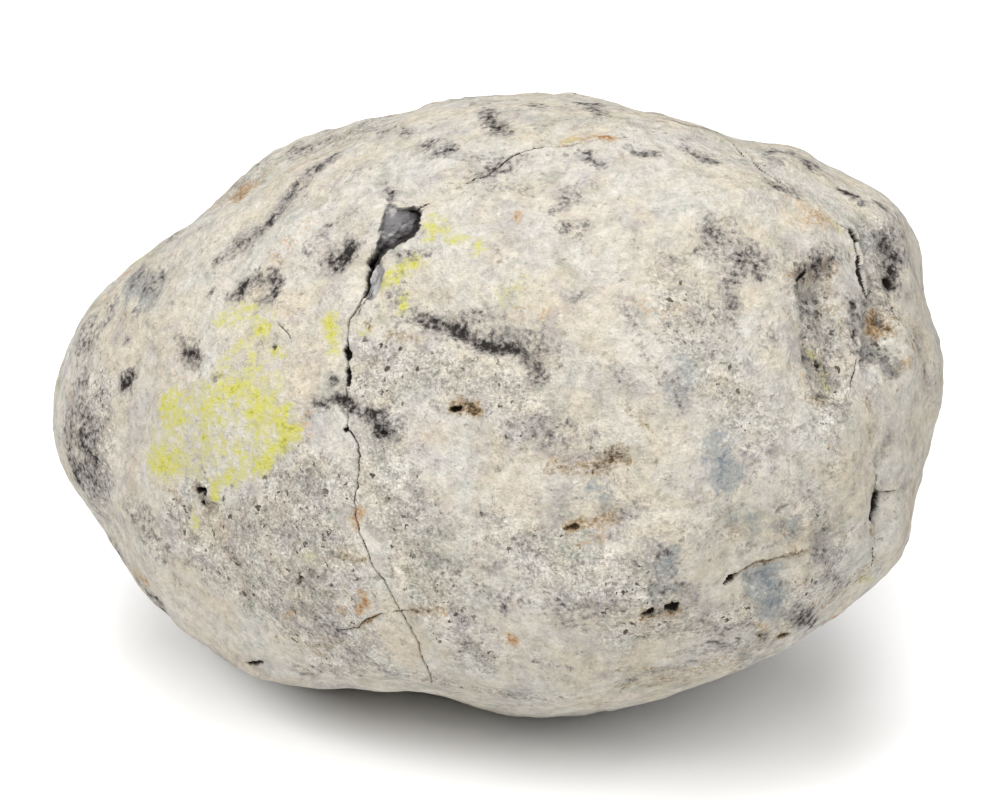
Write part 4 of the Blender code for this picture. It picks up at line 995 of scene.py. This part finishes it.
def build_rind(node):
    """The rind as one closed mesh with its marks as attributes."""
    bm = even_ball()
    lay_ball(bm, solid_tree(node))
    tree = BVHTree.FromBMesh(bm)

    def drawn(table):
        return [(laid(tree, path), *sizes) for path, *sizes in table.values()]

    rng = random.Random(REST_SEED)
    cracks = [crack_line(tree, points) for points in CRACKS.values()]
    cracks += [rest_crack(tree, rng) for _ in range(REST_CRACKS)]
    pits = drawn(PITS) + rest_strokes(tree, rng, *REST_PITS)
    creases = drawn(CREASES) + rest_strokes(tree, rng, *REST_CREASES)
    ledges = drawn(LEDGES) + rest_strokes(tree, rng, *REST_LEDGES)
    rest = {
        name: rest_strokes(tree, rng, *sizes, REST_STROKE) for name, sizes in REST_STAINS.items()
    }

    fine = [(path, half.max()) for path, half, _ in cracks]
    fine += [(path, reach) for path, reach, _ in pits]
    fine += [(laid(tree, edge), CHIP_EDGE_REACH) for edge in (CHIP_STEEP, CHIP_SOFT)]
    fine.append((laid(tree, CHIP_FLOOR), CHIP_FLOOR_REACH))
    refine(bm, fine)

    skin = positions(bm)
    ragged = RAGGED * noise_at(skin, RAGGED_SIZE)
    broadly, finely = swayed(skin, BROAD_SWAYS), swayed(skin, FINE_SWAYS)
    marks = {}
    for name, table in STAINS.items():
        strokes = [(laid(tree, path), reach, strength) for reach, strength, *path in table]
        ground = broadly if name in BROAD_STAINS else finely
        marks[name] = painted(ground, ragged, strokes + rest[name])
    outward = np.array([vert.normal[:] for vert in bm.verts])
    height, marks["flake"] = relief(skin, creases, ledges)
    crack_drop, marks["crack_side"], marks["crack_half"] = carve_cracks(skin, cracks)
    pit_drop, marks["pit"] = carve_pits(swayed(skin, PIT_SWAYS), pits)
    chip_drop, marks["slate"], marks["wall"] = carve_chip(skin)
    wedge = [(laid(tree, SLATE_WEDGE), SLATE_REACH, 1.0)]
    exposed = painted(swayed(skin, CHIP_SWAYS), np.zeros(len(skin)), wedge)
    marks["slate"] = np.maximum(marks["slate"], smoothstep(*SLATE_SHOWS, exposed))
    height -= np.maximum(np.maximum(crack_drop, pit_drop), SLATE_DEPTH * exposed)
    inward = skin - np.array(EYE)
    inward /= np.linalg.norm(inward, axis=1)[:, None]
    points = skin + outward * (height * MM)[:, None] + inward * (chip_drop * MM)[:, None]
    points[:, 2] = np.maximum(points[:, 2], 0)
    place(bm, points)

    # How far each point lies below the evened surface, for the shade that the material paints into
    # the hollows.
    pairs = edge_pairs(bm)
    even = np.stack([averaged(points[:, axis], pairs, HOLLOW_ROUNDS) for axis in range(3)], axis=1)
    marks["hollow"] = np.einsum("ij,ij->i", even - points, outward) / MM
    mesh = bpy.data.meshes.new("rind")
    bm.to_mesh(mesh)
    bm.free()
    for name, values in marks.items():
        layer = mesh.attributes.new(name, "FLOAT", "POINT")
        layer.data.foreach_set("value", values.astype(np.float32))
    mesh.shade_smooth()
    return mesh


# Materials

# Painted shade: the near-black tint darkens the pits, the wide cracks and the chip under its steep
# wall, "crack" darkens the narrow cracks, and "grain" the hollows.
PALETTE = {
    "cream": (236, 226, 206), "pale": (237, 232, 221), "tan": (206, 194, 172),
    "lilac": (198, 190, 191), "sage": (190, 192, 174), "peach": (230, 206, 180),
    "ash": (204, 198, 186), "pepper": (146, 137, 124), "fleck": (84, 74, 64),
    "white": (246, 243, 236), "stone grey": (117, 111, 109), "halo": (180, 175, 167),
    "grain": (74, 70, 68), "soot": (36, 31, 27), "olive": (168, 158, 76),
    "pale lime": (234, 228, 172), "lime": (238, 234, 104), "pale rust": (224, 188, 140),
    "rust": (184, 120, 58), "pale blue": (176, 182, 182), "blue": (136, 146, 155),
    "pale brown": (184, 164, 130), "brown": (88, 66, 36), "slate": (148, 145, 146),
    "pale slate": (216, 215, 212), "painted shade": (42, 34, 29), "crack": (66, 52, 42),
    "floor": (246, 246, 246),
}
CHALK_SHADE = 0.535  # how bright the palette's chalk is in daylight
FINEST_GRAIN = 0.1  # mm
STONE_ROUGHNESS, STONE_GLOSS = 0.95, 0.15
FLOOR_ROUGHNESS, FLOOR_GLOSS = 0.9, 0.2

# Below, a span is (level it starts at, level it is full at, least, most).
ASHEN = (0.05, 0.75)  # of the speckled mark
ASH_COVER = 0.45
BROAD, BLOTCH, MOTTLE, GRAIN = (11.0, 0.6), (3.2, 0.7), (1.15, 0.7), (0.32, 0.7)  # mm, roughness
PALE_SPAN, WHITE_SPAN, TAN_SPAN = (0.40, 0.60), (0.3, 0.7, 0, 0.3), (0.46, 0.66, 0, 0.45)
TINGES = (  # tint, size in mm, twist, span
    ("lilac", 4.6, 0.4, (0.50, 0.64, 0, 0.60)),
    ("sage", 5.4, 0.6, (0.52, 0.66, 0, 0.55)),
    ("peach", 7.3, 0.3, (0.54, 0.68, 0, 0.45)),
)
TINGE_ROUGHNESS = 0.7
BRIGHTNESS, BLOTCH_SWING = 1.02, 0.9  # the chalk's middle shade, and how far each noise swings it
MOTTLE_SWING, GRAIN_SWING = (1.05, 1.8), (0.4, 1.8)  # where it is clean, and where it is ashen

# Grey pepper, and dark flecks that crowd where the rind is speckled.
CROWDING, CROWDING_SWING, CROWDING_SPECKLED = (4.2, 0.6, 0.5), 0.5, 0.07
PEPPER, PEPPER_SPAN = (0.9, 0.66), (0.61, 0.76, 0, 0.65)
FLECK_WARP_SIZE, FLECK_WARP = 0.5, 1.1
FLECK_CELLS = (1.3, 0.75)  # mm
FLECK_SPREAD, FLECK_CROWDED, FLECK_LEAST = 0.5, 1.5, -0.25  # what a fleck's radius is made of
FLECK_EDGE, FLECK_CLEAN, FLECK_COVER = (-0.02, 0.04), (0, 0.8, 0.06, 1), 0.92

# Stains: clouds of their pale tint that deepen to their strong one.
DRIFT, DRIFT_SPAN, DRIFT_CLEAN = (5.0, 0.7, 0.3), (0.52, 0.72, 0, 0.5), (0, 0.7, 0.12, 1)
BLACK_WEIGHT = 0.8
CLOUD_ROUGHNESS = 0.68
STAIN_SHOWS = (0.03, 0.3)
CLOUDED = (  # mark, weight, clouds (size in mm, swing), tints and their spans
    ("blue", 0.85, ((1.8, 2.0), (0.5, 1.8)), (
        ("pale blue", (0.05, 0.5, 0, 0.7)), ("blue", (0.5, 1.1, 0, 0.8)))),
    ("lime", 0.90, ((2.2, 2.2), (0.7, 2.6)), (
        ("pale lime", (0.05, 0.60, 0, 0.75)), ("lime", (0.45, 1.10, 0, 0.85)),
        ("olive", (1.05, 1.50, 0, 0.60)))),
    ("rust", 0.95, ((1.4, 1.6), (0.4, 1.8)), (
        ("pale rust", (0.1, 0.6, 0, 0.6)), ("rust", (0.5, 1.1, 0, 0.9)))),
    ("brown", 0.92, ((1.4, 1.8), (0.4, 2.2)), (
        ("pale brown", (0.1, 0.6, 0, 0.6)), ("brown", (0.5, 1.1, 0, 0.9)))),
    ("dark", 0.65, ((2.3, 2.2), (0.6, 2.5)), (
        ("halo", (0.02, 0.44, 0, 0.64)), ("stone grey", (0.34, 0.86, 0, 0.80)),
        ("soot", (0.70, 1.20, 0, 0.92)))),
)

# Painted shade in the hollows, under the chip's steep wall, in the cracks and in the pits, and the
# streaks of the chip's slate.
HOLLOW_SHADE_SPAN, HOLLOW_SHADE_GRAINS = (0.03, 0.2, 0, 0.45), (0.40, 0.62)
STREAK, STREAK_SPAN = (2.2, 0.6, 0.2), (0.46, 0.64)
WALL_SHADE_SPAN = (0.8, 0.15, 0, 0.9)  # mm from the chip's steep wall: the painted shade under it
CRACK_SHADE_EDGE, CRACK_SHADE_WIDE = (-0.03, 0.03, 0, 0.95), (0.06, 0.14)  # mm: the painted shade inside a crack, dark brown where it is narrow and near black where it is wide
PIT_SHADE_SPAN = (0.1, 0.9)
BUMP_BLOTCH, BUMP_CLEAN, BUMP_ASHEN, BUMP_MM = 1.3, 0.2, 0.5, 0.5


def tint(name):
    """A palette colour in linear light."""
    def linear(value):
        value /= 255
        return value / 12.92 if value <= 0.04045 else ((value + 0.055) / 1.055) ** 2.4
    shade = 1.0 if name == "floor" else CHALK_SHADE
    return (*(shade * linear(value) for value in PALETTE[name]), 1)


class Tree:
    """A node tree, with short ways to add and join nodes."""

    def __init__(self, tree):
        self.tree = tree

    def put(self, node, **values):
        """Sets a node's named inputs, or joins another node's output to them."""
        for name, value in values.items():
            self.set(node.inputs[name.replace("_", " ")], value)

    def set(self, socket, value):
        if isinstance(value, bpy.types.NodeSocket):
            self.tree.links.new(value, socket)
        elif value is not None:
            socket.default_value = value

    def add(self, kind, *values, **settings):
        node = self.tree.nodes.new(kind)
        for name, setting in settings.items():
            setattr(node, name, setting)
        for socket, value in zip(node.inputs, values):
            self.set(socket, value)
        return node

    def sum(self, operation, a, b=None, c=None):
        return self.add("ShaderNodeMath", a, b, c, operation=operation).outputs[0]

    def swing(self, value, reach):
        """A noise from 0 to 1, made to swing either way from 0."""
        return self.sum("MULTIPLY", self.sum("SUBTRACT", value, 0.5), reach)

    def step(self, value, low, high, bottom=0.0, top=1.0):
        """The value brought smoothly from (low, high) to (bottom, top)."""
        node = self.add("ShaderNodeMapRange", value, low, high, bottom, top,
                        interpolation_type="SMOOTHSTEP")
        return node.outputs[0]

    def mix(self, share, a, b, blend="MIX"):
        """Two colours mixed; a name stands for a tint."""
        node = self.add("ShaderNodeMix", data_type="RGBA", blend_type=blend)
        a, b = (tint(value) if isinstance(value, str) else value for value in (a, b))
        for index, value in ((0, share), (6, a), (7, b)):
            self.set(node.inputs[index], value)
        return node.outputs[2]

    def noise(self, at, size, roughness=0.5, distortion=0.0, output="Fac"):
        """Noise from 0 to 1, down to the finest grain; size is a lump's, in mm."""
        node = self.add("ShaderNodeTexNoise", normalize=True)
        self.put(node, Vector=at, Scale=1 / size, Detail=math.log2(size / FINEST_GRAIN),
                 Roughness=roughness, Distortion=distortion)
        return node.outputs[output]

    def mark(self, name):
        return self.add("ShaderNodeAttribute", attribute_name=name).outputs["Fac"]


def add_pepper(tree, at, colour, speckled, ashen):
    """Grey pepper and dark flecks over the chalk."""
    crowding = tree.swing(tree.noise(at, *CROWDING), CROWDING_SWING)
    crowding = tree.sum("MULTIPLY_ADD", speckled, CROWDING_SPECKLED, crowding)
    pepper = tree.sum("ADD", crowding, tree.noise(at, *PEPPER))
    colour = tree.mix(tree.step(pepper, *PEPPER_SPAN), colour, "pepper")
    push = tree.noise(at, FLECK_WARP_SIZE, output="Color")
    warped = tree.add("ShaderNodeVectorMath", push, (FLECK_WARP,) * 3, at,
                      operation="MULTIPLY_ADD").outputs[0]
    crowded = tree.sum("MULTIPLY_ADD", crowding, FLECK_CROWDED, FLECK_LEAST)
    flecks = 0.0
    for size in FLECK_CELLS:
        cells = tree.add("ShaderNodeTexVoronoi")
        tree.put(cells, Vector=warped, Scale=1 / size)
        radius = tree.sum("MULTIPLY_ADD", cells.outputs["Color"], FLECK_SPREAD, crowded)
        dot = tree.step(tree.sum("SUBTRACT", radius, cells.outputs["Distance"]), *FLECK_EDGE)
        flecks = tree.sum("MAXIMUM", dot, flecks)
    flecks = tree.sum("MULTIPLY", flecks, tree.step(ashen, *FLECK_CLEAN))
    return tree.mix(tree.sum("MULTIPLY", flecks, FLECK_COVER), colour, "fleck")


def add_stains(tree, at, colour, ashen):
    """Stains over the chalk, and faint grey drifts where no stain is drawn."""
    drift = tree.step(tree.noise(at, *DRIFT), *DRIFT_SPAN)
    drift = tree.sum("MULTIPLY", drift, tree.step(ashen, *DRIFT_CLEAN))
    grey = tree.sum("MAXIMUM", tree.mark("grey"), drift)
    dark = tree.sum("MULTIPLY_ADD", tree.mark("black"), BLACK_WEIGHT, grey)
    for name, weight, clouds, covers in CLOUDED:
        amount = dark if name == "dark" else tree.mark(name)
        level = tree.sum("MULTIPLY", amount, weight)
        for size, swing in clouds:
            cloud = tree.sum("SUBTRACT", tree.noise(at, size, CLOUD_ROUGHNESS), 0.5)
            level = tree.sum("MULTIPLY_ADD", cloud, swing, level)
        shows = tree.step(amount, *STAIN_SHOWS)
        for shade, span in covers:
            colour = tree.mix(tree.sum("MULTIPLY", tree.step(level, *span), shows), colour, shade)
    return colour


def add_cavities(tree, at, colour):
    """The chip's slate floor with painted shade under its steep wall, and the cracks and pits
    painted dark with shade.
    """
    slate = tree.mix(tree.step(tree.noise(at, *STREAK), *STREAK_SPAN), "slate", "pale slate")
    # Painted shade: the slate turns near black close under the chip's steep wall.
    slate = tree.mix(tree.step(tree.mark("wall"), *WALL_SHADE_SPAN), slate, "painted shade")
    colour = tree.mix(tree.mark("slate"), colour, slate)
    # Painted shade inside the cracks: dark brown in the narrow ones, near black in the wide.
    half = tree.mark("crack_half")
    within = tree.sum("SUBTRACT", half, tree.sum("ABSOLUTE", tree.mark("crack_side")))
    depth = tree.mix(tree.step(half, *CRACK_SHADE_WIDE), "crack", "painted shade")
    colour = tree.mix(tree.step(within, *CRACK_SHADE_EDGE), colour, depth)
    # Painted shade in the deeper pits.
    return tree.mix(tree.step(tree.mark("pit"), *PIT_SHADE_SPAN), colour, "painted shade")


def chalky_rind():
    """The rind: cream chalk with grey, lilac and green mottling, grains and stains, and painted
    shade in its hollows and cavities.
    """
    material = bpy.data.materials.new("chalky_rind")
    material.use_nodes = True
    tree = Tree(material.node_tree)
    at = tree.add("ShaderNodeVectorMath", operation="SCALE")
    tree.put(at, Vector=tree.add("ShaderNodeTexCoord").outputs["Object"], Scale=1 / MM)
    at = at.outputs[0]

    # Cream chalk, mottled at several sizes, greyer and more strongly where it is speckled.
    speckled = tree.mark("speckled")
    ashen = tree.step(speckled, *ASHEN)
    broad, blotch, mottle, grain = (
        tree.noise(at, *kind) for kind in (BROAD, BLOTCH, MOTTLE, GRAIN)
    )
    colour = tree.mix(tree.step(broad, *PALE_SPAN), "cream", "pale")
    colour = tree.mix(tree.sum("MULTIPLY", ashen, ASH_COVER), colour, "ash")
    for name, size, twist, span in TINGES:
        there = tree.step(tree.noise(at, size, TINGE_ROUGHNESS, twist), *span)
        colour = tree.mix(there, colour, name)
    colour = tree.mix(tree.step(tree.mark("flake"), *WHITE_SPAN), colour, "white")
    colour = tree.mix(tree.step(blotch, *TAN_SPAN), colour, "tan")
    swing = tree.swing(blotch, BLOTCH_SWING)
    for value, reaches in ((mottle, MOTTLE_SWING), (grain, GRAIN_SWING)):
        swing = tree.sum("ADD", swing, tree.swing(value, tree.step(ashen, 0, 1, *reaches)))
    colour = tree.mix(1.0, colour, tree.sum("ADD", swing, BRIGHTNESS), "MULTIPLY")

    colour = add_pepper(tree, at, colour, speckled, ashen)
    colour = add_stains(tree, at, colour, ashen)
    # Painted shade in the hollows, broken up by the grain, in the dark grain tint.
    hollow_shade = tree.step(tree.mark("hollow"), *HOLLOW_SHADE_SPAN)
    hollow_shade = tree.sum("MULTIPLY", hollow_shade, tree.step(grain, *HOLLOW_SHADE_GRAINS))
    colour = tree.mix(hollow_shade, colour, "grain")
    colour = add_cavities(tree, at, colour)

    height = tree.sum("MULTIPLY", grain, tree.step(ashen, 0, 1, BUMP_CLEAN, BUMP_ASHEN))
    height = tree.sum("ADD", mottle, height)
    height = tree.sum("MULTIPLY_ADD", blotch, BUMP_BLOTCH, height)
    bump = tree.add("ShaderNodeBump")
    tree.put(bump, Strength=1.0, Distance=BUMP_MM * MM, Height=height)
    tree.put(material.node_tree.nodes["Principled BSDF"], Base_Color=colour,
             Roughness=STONE_ROUGHNESS, Specular_IOR_Level=STONE_GLOSS, Normal=bump.outputs[0])
    return material


def plain(name, roughness, gloss):
    material = bpy.data.materials.new(name)
    material.use_nodes = True
    Tree(material.node_tree).put(material.node_tree.nodes["Principled BSDF"],
                                 Base_Color=tint(name), Roughness=roughness,
                                 Specular_IOR_Level=gloss)
    return material


# Scene

FLOOR_RADIUS, FLOOR_SIDES = 0.6, 96
BACKDROP_GLOW = 0.04
LAMP_AWAY, LAMP_SIZE = 2.2, 1.2
LAMPS = (  # name, bearing and height in degrees, watts
    ("front", 0, 45, 17.0),
    ("front_high", 0, 65, 13.0),
    ("top", 0, 88, 15.0),
    ("left", -60, 45, 33.0),
    ("right", 60, 45, 11.0),
    ("right_low", 50, 25, 6.0),
    ("back", 180, 60, 20.0),
)


def link(name, data):
    obj = bpy.data.objects.new(name, data)
    bpy.context.scene.collection.objects.link(obj)
    return obj


def add_camera():
    data = bpy.data.cameras.new("camera")
    data.lens, data.sensor_width = LENS_MM, SENSOR_MM
    data.shift_x = (FRAME_MIDDLE[0] - FACE_MIDDLE_PIXEL[0]) / FRAME_WIDTH
    data.shift_y = (FACE_MIDDLE_PIXEL[1] - FRAME_MIDDLE[1]) / FRAME_WIDTH
    camera = link("camera", data)
    turn = Matrix.Rotation(math.pi / 2 - FACE_LEAN, 4, "X")
    camera.matrix_world = Matrix.Translation(EYE) @ turn
    bpy.context.scene.camera = camera


def add_floor():
    bm = bmesh.new()
    bmesh.ops.create_circle(bm, cap_ends=True, radius=FLOOR_RADIUS, segments=FLOOR_SIDES)
    mesh = bpy.data.meshes.new("floor")
    bm.to_mesh(mesh)
    bm.free()
    mesh.materials.append(plain("floor", FLOOR_ROUGHNESS, FLOOR_GLOSS))
    floor = link("floor", mesh)


def add_light(name, bearing, height, power):
    """A soft round lamp; its bearing is measured from the front, and its height from the floor."""
    bearing, height = math.radians(bearing), math.radians(height)
    level = math.cos(height)
    way = Vector((math.sin(bearing) * level, -math.cos(bearing) * level, math.sin(height)))
    data = bpy.data.lights.new(name, "AREA")
    data.shape, data.size, data.energy = "DISK", LAMP_SIZE, power
    lamp = link(name, data)
    lamp.location = FACE_MIDDLE + way * LAMP_AWAY
    lamp.rotation_euler = (-way).to_track_quat("-Z", "Y").to_euler()


def add_surround():
    """A white backdrop that lights the stone only faintly, and the lamps."""
    scene = bpy.context.scene
    world = bpy.data.worlds.new("studio")
    world.use_nodes = True
    tree = Tree(world.node_tree)
    seen = tree.add("ShaderNodeLightPath").outputs["Is Camera Ray"]
    tree.put(world.node_tree.nodes["Background"], Color=(1, 1, 1, 1),
             Strength=tree.step(seen, 0, 1, BACKDROP_GLOW, 1.0))
    scene.world = world
    scene.view_settings.view_transform = "Standard"
    for light in LAMPS:
        add_light(*light)


add_camera()
add_surround()
add_floor()
stone = link("chalky_stone", build_rind(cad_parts["geode"]))
stone.data.materials.append(chalky_rind())
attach(stone, "root")
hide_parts("geode")
